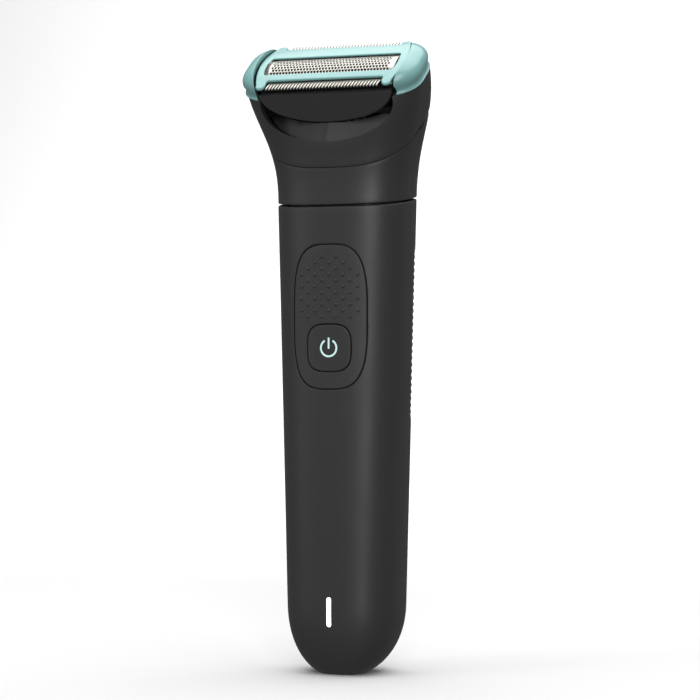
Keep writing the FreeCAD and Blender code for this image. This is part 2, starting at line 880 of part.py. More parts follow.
# Components on the board: name, width, depth, place across and height of the lower edge.
CHIPS = [
    ("controller_chip", 5.0, 1.0, 0, 58),
    ("charger_chip", 3.0, 0.9, -4, 42),
    ("coil_block", 4.0, 1.4, 4, 34),
]


def small_parts():
    """Switch, charge light and circuit pieces that sit on the board's front."""
    case = box("switch_case", "2 * switch_half_width", 1.3, "2 * switch_half_width", 0,
               "-board_front - 0.65", "button_height - switch_half_width")
    nub = rod("switch_nub", 1.5, 0.35, 0, "-board_front - 1.6", "button_height", axis="y")
    keep(fuse("tactile_switch", case, nub), "tactile_switch")
    keep(box("charge_light", 1.6, 0.8, 3.2, 0, "-board_front - 0.4", "light_height - 1.6"), "charge_light")
    chips = [
        box(name, width, depth, width, x, f"-board_front - {depth} / 2", height)
        for name, width, depth, x, height in CHIPS
    ]
    group = doc.addObject("Part::Compound", "board_chips")
    group.Links = chips
    keep(group, "board_chips")


def charging_inlet():
    """Socket for the charger lead: a moulded block, two contacts and a sealing ring."""
    top = half_space(FreeCAD.Vector(0, 0, size("inlet_top")), FreeCAD.Vector(0, 0, 1), False)
    block = inlet_block(-0.03).common(top)
    recess = FreeCAD.Vector(0, 0, size("inlet_recess"))
    block = block.common(half_space(recess, FreeCAD.Vector(0, 0, 1), True))
    width = size("socket_half_width")
    depth = size("socket_half_depth")
    corner = FreeCAD.Vector(-width, size("inlet_y") - depth, -5)
    hole = Part.makeBox(2 * width, 2 * depth, size("socket_hole_depth") + 5, corner)
    hole = hole.makeFillet(depth * 0.95, [edge for edge in hole.Edges if abs(edge.tangentAt(0).z) > 0.9])
    block = block.cut(hole)
    contacts = []
    for x in (-size("contact_x"), size("contact_x")):
        spot = FreeCAD.Vector(x, size("inlet_y"), size("contact_foot"))
        contacts.append(Part.makeCylinder(size("contact_radius"), size("contact_length"), spot))
    feature("charging_socket", block.cut(Part.makeCompound(contacts)))
    feature("charging_contacts", Part.makeCompound(contacts))
    ring = inlet_block(1.2).cut(inlet_block(0.0))
    slab = Part.makeBox(40, 40, 1.4, FreeCAD.Vector(-20, -20, size("wall") + 0.6))
    feature("socket_seal", ring.common(slab).common(outer_blank(size("wall") + 0.02)))


# Head: neck, unit housing, front panel and caps -----------------------------------------------


def neck_shell():
    """Lower part of the head, from the seam up to the leaning parting line."""
    shell = outer_blank().cut(outer_blank(size("wall")))
    shell = shell.common(seam_side(True, size("seam_gap") / 2))
    shell = shell.common(unit_seam_side(False, -0.12))
    feature("neck_shell", shell)


def bowl_region(half_width, foot, rise, top):
    """A block along Y whose lower outline is the lower half of an ellipse, open to the top."""
    arc = Part.Ellipse(FreeCAD.Vector(0, 0, 0), half_width, rise)
    low = arc.toShape(math.pi, 2 * math.pi)
    sides = Part.makePolygon(
        [
            FreeCAD.Vector(half_width, 0, 0),
            FreeCAD.Vector(half_width, top - foot - rise, 0),
            FreeCAD.Vector(-half_width, top - foot - rise, 0),
            FreeCAD.Vector(-half_width, 0, 0),
        ]
    )
    face = Part.Face(Part.Wire([low] + sides.Edges))
    upright = FreeCAD.Rotation(FreeCAD.Vector(1, 0, 0), 90)
    face.Placement = FreeCAD.Placement(FreeCAD.Vector(0, -6.0, foot + rise), upright)
    return face.extrude(FreeCAD.Vector(0, -40, 0))


def scoop_tool():
    """The crescent between the panel's lower edge and the scoop's own lower edge."""
    low = bowl_region(size("scoop_half_width"), size("scoop_foot"), size("scoop_foot_rise"), 175.0)
    return low.cut(panel_region(-0.6))


def scoop_floor():
    """What stays behind the scoop: a block whose two front faces lean back towards the top and
    meet in an upright crease."""
    front_foot = -size("collar_front") + 0.1
    front_top = -size("brow_front") + 1.2 + size("scoop_depth")
    low = size("scoop_foot")
    high = size("panel_foot") + 6.0
    slope = (front_top - front_foot) / (size("panel_foot") - low)
    back = 20.0
    reach = 30.0
    solids = []
    for side in (-1, 1):
        rings = []
        for height in (low - 6.0, high):
            y = front_foot + slope * (height - low)
            corners = [
                FreeCAD.Vector(0, y, height),
                FreeCAD.Vector(side * reach, y + size("scoop_crease") * reach, height),
                FreeCAD.Vector(side * reach, back, height),
                FreeCAD.Vector(0, back, height),
            ]
            rings.append(Part.makePolygon(corners + corners[:1]))
        solids.append(Part.makeLoft(rings, True, True))
    return solids[0].fuse(solids[1]).removeSplitter()


def scoop_lining(extra):
    """Thin wall behind the scoop, made thicker inward by extra."""
    back_wall = outer_blank().common(scoop_tool()).common(scoop_floor())
    return back_wall.cut(scoop_floor().translated(FreeCAD.Vector(0, size("wall") * 0.8 + extra, 0)))


def carrier_room():
    """Space that the cassette's carrier sinks into."""
    width = size("carrier_half_width") + 0.3
    length = size("carrier_half_length") + 0.3
    foot = -size("carrier_foot") - 1.3
    room = Part.makeBox(2 * width, 2 * length, -foot, FreeCAD.Vector(-width, -length, foot))
    room.Placement = lean_placement()
    return room


def panel_region(grow):
    """The block of the head's front that the panel takes, between the cheeks."""
    return bowl_region(
        size("panel_half_width") + grow, size("panel_foot") - grow, size("panel_foot_rise") + grow, 176.0
    )


def panel_slope(setback):
    """Everything behind the panel's leaning face."""
    top = lean_placement().multVec(FreeCAD.Vector(0, -10.3 + setback, -3.0))
    foot = lean_placement().multVec(FreeCAD.Vector(0, -12.1 + setback, -11.2))
    along = top.sub(foot)
    normal = FreeCAD.Vector(0, -along.z, along.y).normalize()
    return half_space(top, normal, False)


def head_housing():
    """Housing of the shaving unit: cheeks, back and the frame around the panel."""
    shell = outer_blank().cut(outer_blank(size("wall")))
    shell = shell.common(unit_seam_side(True, 0.12))
    shell = shell.common(below_the_unit())
    scoop = scoop_tool().cut(scoop_floor())
    shell = shell.cut(scoop)
    shell = shell.fuse(scoop_lining(0.0).common(unit_seam_side(True, 0.12)))
    shell = shell.cut(panel_region(size("parting")))
    shell = shell.cut(finger_notch())
    shell = shell.cut(carrier_room())
    feature("head_housing", shell.removeSplitter())


def below_the_unit():
    """Where the housing may reach: under the caps, and a little higher behind the cassette."""
    behind = gap_arch(0.0).common(Part.makeBox(100, 40, 40, FreeCAD.Vector(-50, 0, -20)))
    behind.Placement = lean_placement()
    behind = behind.common(unit_side(False, -size("panel_top_drop")))
    return unit_side(False, -size("cap_base_drop")).fuse(behind)


def finger_notch():
    """Wedge-shaped groove along the parting line, open to the back, for a fingernail."""
    start = size("notch_start")
    reach = 22.0 - start
    angle = math.radians(size("unit_seam_tilt"))
    rise = math.tan(angle)
    foot = size("unit_seam_front_height") + rise * (start + size("handle_front")) - 0.2
    profile = [
        FreeCAD.Vector(-40, start, foot),
        FreeCAD.Vector(-40, start + reach, foot + rise * reach),
        FreeCAD.Vector(-40, start + reach, foot + rise * reach + size("notch_height") / math.cos(angle)),
        FreeCAD.Vector(-40, start + 8.0, foot + rise * 8.0 + size("notch_height") / math.cos(angle)),
    ]
    face = Part.Face(Part.makePolygon(profile + profile[:1]))
    wedge = face.extrude(FreeCAD.Vector(80, 0, 0))
    return wedge.cut(outer_blank(size("notch_depth")))


def front_panel():
    """Dark cover of the hair chamber between the cheeks."""
    block = outer_blank().common(panel_region(0.0))
    block = block.common(unit_side(False, -size("panel_top_drop")))
    block = block.common(panel_slope(0.0))
    block = block.cut(panel_slope(size("panel_thickness")))
    feature("front_panel", block)


def cap_pillow():
    """Rounded block that both side caps are taken from, in the unit's axes."""
    width = size("cap_half_width")
    length = size("cap_half_length")
    base = -size("cap_base_drop") + 0.06
    crown = size("cap_crown")
    rings = []
    for step in range(8):
        angle = math.pi / 2 * step / 8
        inset = size("cap_round") * (1 - math.cos(angle))
        height = -2.2 + (crown + 2.2) * math.sin(angle)
        rings.append(rounded_ring(width - inset, length - inset, length - inset, 0.0, 3.4, 3.4, height))
    rings.insert(0, rounded_ring(width - 0.05, length, length, 0.0, 3.4, 3.4, base))
    return Part.makeLoft(rings, True, False)


def gap_arch(extra):
    """Lens-shaped block between the two caps: its ends are arcs about the unit's middle."""
    radius = size("cap_gap_radius")
    offset = radius - size("cap_gap_half_width") - extra
    blocks = []
    for side in (-1, 1):
        foot = FreeCAD.Vector(-side * offset, 0, -20)
        blocks.append(Part.makeCylinder(radius, 40, foot))
    return blocks[0].common(blocks[1])


def side_caps():
    """Coloured end caps on the two cheeks."""
    pillow = cap_pillow().cut(gap_arch(size("cap_gap")))
    for solid in pillow.Solids:
        side = "left" if solid.CenterOfMass.x < 0 else "right"
        cap = doc.addObject("Part::Feature", "side_cap_" + side)
        cap.Shape = solid
        cap.Placement = lean_placement()
        keep(cap, "side_cap_" + side)


def drive_plate():
    """Plate across the neck that holds the spindle's bush in a tube."""
    foot = size("socket_foot") + 1.2
    slab = Part.makeBox(60, 60, 2.0, FreeCAD.Vector(-30, -30, foot))
    plate = outer_blank(size("wall") + 0.04).common(slab)
    top = size("bush_foot") + size("bush_length")
    tube = Part.makeCylinder(size("bush_radius") + 1.4, top - foot, FreeCAD.Vector(0, 0, foot))
    plate = plate.fuse(tube).cut(Part.makeCylinder(size("bush_radius"), 20, FreeCAD.Vector(0, 0, foot - 2)))
    feature("drive_plate", plate.removeSplitter())


def spindle_bush():
    """Bush that the spindle turns in."""
    ring = rod("bush_ring", "bush_radius", "bush_length", z="bush_foot")
    bore = rod("bush_bore", "journal_radius + running_gap", 8, z="bush_foot - 1")
    keep(cut("spindle_bush", ring, bore), "spindle_bush")


def spindle():
    """Driven spindle: hexagon socket, journal and the off-centre pin."""
    socket = rod("spindle_socket", "socket_radius", "socket_top - socket_foot", z="socket_foot")
    journal = rod("spindle_journal", "journal_radius", "disc_foot - socket_top", z="socket_top")
    disc = rod("spindle_disc", "disc_radius", "disc_height", z="disc_foot")
    pin = rod("spindle_pin", "pin_radius", "pin_top - disc_foot - disc_height", "pin_offset", 0,
              "disc_foot + disc_height")
    hole = hexagon("spindle_hole", "socket_flat", "socket_depth + 1", "socket_foot - 1")
    keep(cut("spindle", fuse("spindle_blank", socket, journal, disc, pin), hole), "spindle")


def latch_clips():
    """Two leaf clips inside the neck that grip the deck's boss."""
    pieces = []
    for index, sign in enumerate(("", "-")):
        leaf = box(f"clip_leaf_{index}", "clip_thickness", "clip_width", "clip_height",
                   f"{sign}(boss_half_width + 0.6)", 0, "seam_height + 1.2")
        bead = rod(f"clip_bead_{index}", 0.3, "clip_width", f"{sign}(boss_half_width + 0.4)",
                   "-clip_width / 2", "seam_height + 3.2", axis="y")
        pieces.append(fuse(f"clip_{index}", leaf, bead))
    group = doc.addObject("Part::Compound", "latch_clips")
    group.Links = pieces
    keep(group, "latch_clips")


# Cassette in the unit's own axes --------------------------------------------------------------


def cradle():
    """Tray in the housing that carries the cassette on its springs."""
    foot = -size("cradle_foot")
    top = foot + size("cradle_thickness")
    plate = Part.makeBox(60, 30, top - foot, FreeCAD.Vector(-30, -size("cradle_front"), foot))
    width = size("cradle_hole_width")
    length = size("cradle_hole_length")
    plate = plate.cut(Part.makeBox(width, length, 4, FreeCAD.Vector(-width / 2, -length / 2, foot - 1)))
    for x in (-size("spring_x"), size("spring_x")):
        plate = plate.fuse(Part.makeCylinder(size("spring_post_radius"), 1.8, FreeCAD.Vector(x, 0, top)))
    plate.Placement = lean_placement()
    plate = plate.common(outer_blank(size("wall") + 0.04))
    feature("cradle", plate.cut(scoop_lining(0.1)))


def lean_keep(thing, label):
    return keep(lean(thing), label)


def cassette_springs():
    """Two coil springs under the cassette."""
    coils = []
    for index, sign in enumerate(("", "-")):
        helix = doc.addObject("Part::Helix", f"spring_helix_{index}")
        helix.Pitch = 1.0
        bind(helix, Height="spring_height", Radius="spring_radius")
        place(helix, f"{sign}spring_x", 0, "-spring_foot")
        wire = doc.addObject("Part::Circle", f"spring_wire_{index}")
        bind(wire, Radius="spring_wire")
        wire.Placement = FreeCAD.Placement(FreeCAD.Vector(), FreeCAD.Rotation(FreeCAD.Vector(1, 0, 0), 90))
        place(wire, f"{sign}spring_x + spring_radius", 0, "-spring_foot")
        coil = doc.addObject("Part::Sweep", f"spring_coil_{index}")
        coil.Sections = [wire]
        coil.Spine = (helix, [f"Edge{number + 1}" for number in range(len(helix.Shape.Edges) or 1)])
        coil.Solid = True
        coil.Frenet = True
        coils.append(coil)
    group = doc.addObject("Part::Compound", "cassette_springs")
    group.Links = coils
    lean_keep(group, "cassette_springs")


def foil_frame():
    """Coloured frame around the foil, with a lobe at each corner beside the trimmers."""
    blank = box("frame_blank", "2 * cap_gap_half_width", "2 * frame_half_length", "frame_depth + 2",
                0, 0, "frame_crown - frame_depth")
    arch = rod("frame_arch", "frame_arch_radius", 60, -30, 0, "frame_crown - frame_arch_radius", axis="x")
    offset = "cap_gap_radius - cap_gap_half_width"
    ends = [
        rod(f"frame_end_{index}", "cap_gap_radius", 40, f"{sign}({offset})", 0, -20)
        for index, sign in enumerate(("", "-"))
    ]
    plate = common("frame_plate", blank, arch, *ends)
    window = box("frame_window", "2 * window_half_width", "2 * window_half_length", 20,
                 0, "-foil_shift", -10)
    notches = [
        box(f"frame_notch_{side}", "2 * trimmer_half_width + 0.4", 6, 20,
            0, f"{sign}(frame_bar_{side} + 3)", -10)
        for side, sign in (("back", ""), ("front", "-"))
    ]
    lean_keep(cut("foil_frame", plate, window, frame_hollow(), *notches), "foil_frame")


def frame_hollow():
    """What is open under the frame: its inside, less the two lips that press on the foil's edges."""
    block = box("frame_under_block", "2 * window_half_width + 0.6", "4 * frame_half_length", 20, 0, 0, -19)
    arch = rod("frame_under_arch", "frame_arch_radius - frame_skin", 60, -30, 0,
               "frame_crown - frame_arch_radius", axis="x")
    inside = common("frame_inside", block, arch)
    lip_block = box("frame_lip_block", "2 * window_half_width - 0.1", "2 * foil_half_length", 20, 0,
                    "-foil_shift", -10)
    foil_room = rod("frame_foil_room", "foil_radius", 60, -30, "-foil_shift", "foil_crown - foil_radius",
                    axis="x")
    lips = cut("frame_lips", lip_block, foil_room)
    lip_foot = box("frame_lip_foot", 60, 30, 20, 0, 0, "foil_crown - 3.8 - 20")
    return cut("frame_under", inside, cut("frame_lip_upper", lips, lip_foot))


def foil():
    """Thin arched foil behind the window."""
    outer = rod("foil_outer", "foil_radius", "2 * window_half_width - 0.1", "-window_half_width + 0.05",
                "-foil_shift", "foil_crown - foil_radius", axis="x")
    inner = rod("foil_inner", "foil_radius - foil_thickness", "2 * window_half_width", "-window_half_width",
                "-foil_shift", "foil_crown - foil_radius", axis="x")
    strip = box("foil_strip", 60, "2 * foil_half_length", 6, 0, "-foil_shift", "foil_crown - 3.8")
    lean_keep(common("foil", cut("foil_skin", outer, inner), strip), "foil")


def toothed_strip(label, front, height, thickness, reach, inset):
    """A trimmer strip: a bar with a row of teeth along its outer edge, in the unit's axes."""
    body = new_body(label)
    edge = f"{reach} - tooth_length - {inset}"
    root = "comb_root"
    low, high = (f"-({edge})", f"-({root})") if front else (root, edge)
    bar = draw_on(body, "XY_Plane", height)
    width = f"trimmer_half_width - 0.15 - {inset}"
    rectangle(bar, f"-({width})", width, low, high)
    pad(body, bar, thickness, "bar")
    tooth = draw_on(body, "XY_Plane", height)
    tip = f"{edge} + tooth_length"
    low, high = (f"-({tip})", f"-({edge} - 0.05)") if front else (f"{edge} - 0.05", tip)
    rectangle(tooth, f"-({width})", f"-({width}) + tooth_width", low, high)
    teeth = pad(body, tooth, thickness, "tooth")
    doc.recompute()
    row = body.newObject("PartDesign::LinearPattern", label + "_row")
    row.Originals = [teeth]
    row.Direction = (tooth, ["H_Axis"])
    row.Length = 1.0
    length = 2 * (size("trimmer_half_width") - 0.15) - size("tooth_width")
    row.Occurrences = int(length / size("tooth_pitch")) + 1
    row.setExpression("Length", formula(f"(2 * ({width}) - tooth_width)"))
    body.Tip = row
    lean(body)
    return body


def trimmers():
    """Fixed comb and moving blade of the front and the back trimmer."""
    for side, front in (("front", True), ("back", False)):
        drop, reach = ("comb_drop", "comb_reach") if front else ("back_comb_drop", "back_comb_reach")
        blade_top = f"-{drop} - running_gap"
        toothed_strip(side + "_comb", front, f"-{drop}", "comb_thickness", reach, "0")
        toothed_strip(side + "_blade", front, "-cutter_foot", f"{blade_top} + cutter_foot", reach,
                      "blade_inset")


def cassette_carrier():
    """Moulded carrier under the frame that holds the foil and the combs."""
    outer = box("carrier_outer", "2 * carrier_half_width", "2 * carrier_half_length",
                "carrier_foot - carrier_top", 0, 0, "-carrier_foot")
    ends = box("carrier_ends", "2 * carrier_half_width", "carrier_end_width", "carrier_foot - carrier_end_top", 0, 0,
               "-carrier_foot")
    inner = box("carrier_inner", "2 * (cutter_half_width + cutter_travel + 0.2)",
                "2 * carrier_half_length - 2.4", 10, 0, 0, "-carrier_foot - 1")
    lean_keep(cut("cassette_carrier", fuse("carrier_blank", outer, ends), inner), "cassette_carrier")


def cutter_block():
    """Block of arched blades that works under the foil."""
    outer = rod("cutter_outer", "cutter_radius", "2 * cutter_half_width", "-cutter_half_width",
                "-foil_shift", "foil_crown - foil_radius", axis="x")
    keep_top = box("cutter_top", 60, "2 * window_half_length - 1.0", 6, 0, "-foil_shift", "-cutter_foot")
    slots = [
        box(f"cutter_slot_{index}", 0.7, 20, 3.0, f"{2.2 * index - 15.4}", 0, "-cutter_foot + 0.9")
        for index in range(15)
    ]
    lean_keep(cut("cutter_block", common("cutter_blank", outer, keep_top), *slots), "cutter_block")


def drive_bridge():
    """Moving bridge: the yoke under the cutters and blades, its beam, and the fork that the
    spindle's pin works in."""
    yoke = box("bridge_yoke", "2 * yoke_half_width", "2 * carrier_half_length + 0.2", "yoke_thickness",
               0, 0, "-cutter_foot - yoke_thickness")
    beam = box("bridge_beam", "2 * cutter_half_width - 2", "beam_width", "beam_foot - cutter_foot", 0, 0,
               "-beam_foot")
    stalk = box("bridge_stalk", "2 * fork_half_width", 5.0, 7.5, 0, 0.4, "-carrier_foot - 6.0")
    tines = [
        box(f"bridge_tine_{index}", "fork_half_width - fork_half_gap", 5.6, "fork_drop - 11.8",
            f"{sign}(fork_half_width + fork_half_gap) / 2", 0.4, "-fork_drop")
        for index, sign in enumerate(("", "-"))
    ]
    lean_keep(fuse("drive_bridge", yoke, beam, stalk, *tines), "drive_bridge")


def check_and_write():
    """Stops on any failed object, then writes one file for each sub-part."""
    doc.recompute()
    failed = [thing.Name for thing in doc.Objects if "Invalid" in thing.State or "Error" in thing.State]
    if failed:
        raise RuntimeError("failed objects: " + ", ".join(failed))
    os.makedirs("parts", exist_ok=True)
    for thing in nodes:
        shape = thing.Shape
        if shape.isNull() or not shape.isValid() or not shape.Solids:
            raise RuntimeError("bad shape: " + thing.Label)
        shape.exportStep(f"parts/{thing.Label}.step")
        print(thing.Label, len(shape.Solids), round(shape.Volume, 1))


def build():
    fill_sheet()
    handle_shell()
    control_inlay()
    power_button()
    power_symbol()
    button_membrane()
    light_pipe()
    back_grip()
    coupling_deck()
    deck_seal()
    shaft_seal()
    deck_screws()
    chassis()
    motor_can()
    motor_shaft()
    drive_hub()
    battery()
    battery_tabs()
    circuit_board()
    small_parts()
    charging_inlet()
    neck_shell()
    head_housing()
    front_panel()
    side_caps()
    drive_plate()
    spindle_bush()
    spindle()
    latch_clips()
    cradle()
    cassette_springs()
    foil_frame()
    foil()
    trimmers()
    cassette_carrier()
    cutter_block()
    drive_bridge()
    check_and_write()


build()
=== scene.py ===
import json
import math

import bmesh
import bpy
from mathutils import Matrix, Vector


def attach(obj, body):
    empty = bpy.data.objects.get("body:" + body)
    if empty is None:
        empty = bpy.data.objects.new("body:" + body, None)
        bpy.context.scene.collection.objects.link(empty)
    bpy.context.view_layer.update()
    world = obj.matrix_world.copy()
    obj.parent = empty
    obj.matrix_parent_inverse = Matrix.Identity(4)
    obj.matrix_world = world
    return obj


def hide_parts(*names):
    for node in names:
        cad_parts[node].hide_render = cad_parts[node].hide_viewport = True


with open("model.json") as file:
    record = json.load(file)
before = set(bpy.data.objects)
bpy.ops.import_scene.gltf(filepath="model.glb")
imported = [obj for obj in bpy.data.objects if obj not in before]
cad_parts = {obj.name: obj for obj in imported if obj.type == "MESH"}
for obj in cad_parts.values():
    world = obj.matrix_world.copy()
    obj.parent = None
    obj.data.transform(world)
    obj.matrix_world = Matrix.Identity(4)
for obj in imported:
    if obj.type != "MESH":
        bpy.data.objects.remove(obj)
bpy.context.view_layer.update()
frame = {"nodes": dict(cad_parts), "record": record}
NODES = frame["nodes"]
MM = 0.001

# Driving sizes of the groomer, in millimetres. The frame's own axes are used throughout.
HANDLE_TOP = 127.6
HANDLE_POWER = 2.7
HALF_WIDTH_FOOT = 15.15
HALF_WIDTH_TOP = 18.55
DEPTH_FRONT = 14.0
DEPTH_BACK_FOOT = 12.6
DEPTH_BACK_TOP = 14.0

# The shaving unit leans forward. Its axes are x, along (front to back) and up (out of the foil).
UNIT_TILT = math.radians(36.0)
UNIT_SPOT = Vector((0.0, -10.85, 164.3))
LEAN = Matrix.Translation(UNIT_SPOT * MM) @ Matrix.Rotation(UNIT_TILT, 4, "X")


# Materials ------------------------------------------------------------------------------------


class Recipe:
    """A material with short ways to add and join nodes."""

    def __init__(self, name):
        self.material = bpy.data.materials.new(name)
        self.material.use_nodes = True
        self.tree = self.material.node_tree
        self.shader = self.tree.nodes["Principled BSDF"]
        self.place = self.add("ShaderNodeTexCoord").outputs["Object"]

    def add(self, kind, **values):
        node = self.tree.nodes.new(kind)
        for name, value in values.items():
            if hasattr(node, name):
                setattr(node, name, value)
            else:
                node.inputs[name].default_value = value
        return node

    def join(self, source, target):
        self.tree.links.new(source, target)

    def noise(self, size_mm, detail=2.0, stretch=(1, 1, 1)):
        """A noise texture whose features are about size_mm across."""
        mapping = self.add("ShaderNodeMapping")
        mapping.inputs["Scale"].default_value = [1 / value for value in stretch]
        self.join(self.place, mapping.inputs["Vector"])
        texture = self.add("ShaderNodeTexNoise")
        texture.inputs["Scale"].default_value = 1 / (size_mm * MM)
        texture.inputs["Detail"].default_value = detail
        self.join(mapping.outputs["Vector"], texture.inputs["Vector"])
        return texture.outputs["Fac"]

    def spread(self, factor, low, high):
        """Maps a factor around one half to a range of plain values."""
        ramp = self.add("ShaderNodeMapRange")
        ramp.inputs["From Min"].default_value = 0.3
        ramp.inputs["From Max"].default_value = 0.7
        ramp.inputs["To Min"].default_value = low
        ramp.inputs["To Max"].default_value = high
        self.join(factor, ramp.inputs["Value"])
        return ramp.outputs["Result"]

    def tint(self, factor, dark, light):
        """Mixes two colours by a factor into the base colour."""
        mix = self.add("ShaderNodeMix", data_type="RGBA")
        mix.inputs["A"].default_value = (*dark, 1)
        mix.inputs["B"].default_value = (*light, 1)
        self.join(factor, mix.inputs["Factor"])
        self.join(mix.outputs["Result"], self.shader.inputs["Base Color"])
        return mix

    def shade_seams(self, tint, reach_mm):
        """Paints shade into a colour: darkens it by how much of a point's surroundings is hidden, as far
        down in a gap.
        """
        near = self.add("ShaderNodeAmbientOcclusion", samples=8, Distance=reach_mm * MM)
        curve = self.add("ShaderNodeMapRange")
        curve.inputs["From Min"].default_value = 0.42
        curve.inputs["From Max"].default_value = 0.8
        self.join(near.outputs["AO"], curve.inputs["Value"])
        painted_gap_shade = self.add("ShaderNodeMix", data_type="RGBA")
        painted_gap_shade.inputs["A"].default_value = (0.01, 0.02, 0.02, 1)
        self.join(curve.outputs["Result"], painted_gap_shade.inputs["Factor"])
        self.join(tint.outputs["Result"], painted_gap_shade.inputs["B"])
        self.join(painted_gap_shade.outputs["Result"], self.shader.inputs["Base Color"])

    def bump(self, height, depth_mm, strength=1.0, below=None):
        """Raises a fine relief, on top of the one below if one is given."""
        node = self.add("ShaderNodeBump")
        node.inputs["Distance"].default_value = depth_mm * MM
        node.inputs["Strength"].default_value = strength
        self.join(height, node.inputs["Height"])
        if below is not None:
            self.join(below, node.inputs["Normal"])
        self.join(node.outputs["Normal"], self.shader.inputs["Normal"])
        return node.outputs["Normal"]


def plastic(name, colour, roughness, grain=0.22, relief=0.012, vary=0.08, coat=0.0, sheen=0.0, seam=0.0):
    """Moulded plastic or rubber: a fine spark-eroded grain, slow patches of gloss, a little tint and, where
    a seam reach is given, painted shade in narrow gaps.

    The grain, the relief and the reach of the painted seam shade are in millimetres.
    """
    recipe = Recipe(name)
    shader = recipe.shader
    patches = recipe.noise(14.0, 3.0)
    speckle = recipe.noise(grain, 2.0)
    dark = [channel * (1 - vary) for channel in colour]
    light = [channel * (1 + vary) for channel in colour]
    tint = recipe.tint(speckle, dark, light)
    # Painted shade: the colour darkens towards near-black in narrow gaps and creases.
    if seam:
        recipe.shade_seams(tint, seam)
    rough = recipe.spread(patches, roughness - 0.03, roughness + 0.04)
    recipe.join(rough, shader.inputs["Roughness"])
    coarse = recipe.bump(recipe.noise(grain * 3.2, 2.0), relief * 0.7, 0.6)
    recipe.bump(speckle, relief, 1.0, coarse)
    shader.inputs["Coat Weight"].default_value = coat
    shader.inputs["Coat Roughness"].default_value = 0.18
    shader.inputs["Sheen Weight"].default_value = sheen
    shader.inputs["Sheen Roughness"].default_value = 0.45
    return recipe.material


def metal(name, colour, roughness, stretch=(1, 1, 1), grain=0.1, relief=0.002):
    """Metal with fine lines along one direction."""
    recipe = Recipe(name)
    shader = recipe.shader
    shader.inputs["Metallic"].default_value = 1.0
    lines = recipe.noise(grain, 3.0, stretch)
    recipe.tint(lines, [channel * 0.9 for channel in colour], colour)
    recipe.join(recipe.spread(lines, roughness - 0.05, roughness + 0.08), shader.inputs["Roughness"])
    recipe.bump(lines, relief)
    return recipe.material


def glow(name, colour, power):
    """A clear window with light behind it, shining evenly."""
    recipe = Recipe(name)
    shader = recipe.shader
    recipe.tint(recipe.noise(2.5), [channel * 0.92 for channel in colour], colour)
    recipe.join(recipe.spread(recipe.noise(0.8), 0.12, 0.2), shader.inputs["Roughness"])
    shader.inputs["Emission Color"].default_value = (*colour, 1)
    shader.inputs["Emission Strength"].default_value = power
    return recipe.material


def make_materials():
    charcoal = (0.036, 0.036, 0.038)
    mint = (0.24, 0.50, 0.485)
    return {
        "body_plastic": plastic("body_plastic", charcoal, 0.46),
        "panel_plastic": plastic("panel_plastic", (0.033, 0.033, 0.035), 0.36, 0.16, 0.006),
        "inlay_rubber": plastic("inlay_rubber", (0.038, 0.038, 0.040), 0.52, 0.2, 0.012, sheen=0.05),
        "button_plastic": plastic("button_plastic", (0.037, 0.037, 0.039), 0.45),
        "symbol_plastic": glow("symbol_plastic", (0.66, 0.93, 0.90), 0.35),
        "light_plastic": glow("light_plastic", (0.93, 0.97, 1.0), 3.0),
        "grip_rubber": plastic("grip_rubber", (0.026, 0.026, 0.027), 0.58, 0.25, 0.014, sheen=0.08),
        # The mint pieces get painted shade in their narrow gaps.
        "mint_plastic": plastic("mint_plastic", mint, 0.3, 0.12, 0.002, 0.025, coat=0.25, seam=1.3),
        "foil_steel": metal("foil_steel", (0.56, 0.54, 0.50), 0.3, (6, 1, 1)),
        "blade_steel": metal("blade_steel", (0.60, 0.57, 0.52), 0.3, (1, 6, 1)),
        "inner_plastic": plastic("inner_plastic", (0.012, 0.012, 0.013), 0.4),
        "drive_plastic": plastic("drive_plastic", (0.70, 0.70, 0.67), 0.35),
        "bush_brass": metal("bush_brass", (0.72, 0.53, 0.25), 0.3, (1, 1, 8)),
        "seal_rubber": plastic("seal_rubber", (0.03, 0.03, 0.033), 0.5),
        "cutter_steel": metal("cutter_steel", (0.02, 0.02, 0.022), 0.5, (1, 6, 1)),
        "plain_steel": metal("plain_steel", (0.56, 0.56, 0.57), 0.3, (1, 1, 8)),
        "cell_can": plastic("cell_can", (0.10, 0.16, 0.24), 0.3),
        "nickel": metal("nickel", (0.7, 0.68, 0.63), 0.22, (6, 1, 1)),
        "board": plastic("board", (0.012, 0.09, 0.035), 0.35),
        "chip_black": plastic("chip_black", (0.015, 0.015, 0.016), 0.4),
    }


MATERIALS = make_materials()
SLOT_OF = {row["node"]: row["material_slot"] for row in frame["record"]["subparts"]}


def finish_all_nodes():
    """Gives every CAD node the finish of its slot."""
    for name, node in NODES.items():
        node.data.materials.clear()
        node.data.materials.append(MATERIALS[SLOT_OF[name]])


# Stage, camera and lights -----------------------------------------------------------------------


def make_stage():
    """A pale floor that sweeps up behind the groomer."""
    mesh = bpy.data.meshes.new("floor")
    build = bmesh.new()
    half_width = 3.0
    wall_height = 3.0
    bend = 0.5
    back = 1.6
    profile = [(-half_width, 0.0), (back - bend, 0.0)]
    for step in range(1, 13):
        angle = math.pi / 2 * step / 12
        profile.append((back - bend + bend * math.sin(angle), bend - bend * math.cos(angle)))
    profile.append((back, wall_height))
    rows = [[build.verts.new((side * half_width, y, z)) for side in (-1, 1)] for y, z in profile]
    for low, high in zip(rows, rows[1:]):
        build.faces.new((low[0], low[1], high[1], high[0]))
    for face in build.faces:
        face.smooth = True
    build.to_mesh(mesh)
    build.free()
    floor = bpy.data.objects.new("floor", mesh)
    bpy.context.scene.collection.objects.link(floor)
    recipe = Recipe("floor_paper")
    recipe.tint(recipe.noise(400.0), (0.86, 0.86, 0.86), (0.88, 0.88, 0.88))
    recipe.shader.inputs["Roughness"].default_value = 0.9
    mesh.materials.append(recipe.material)
    floor.visible_diffuse = False
    floor.visible_glossy = False


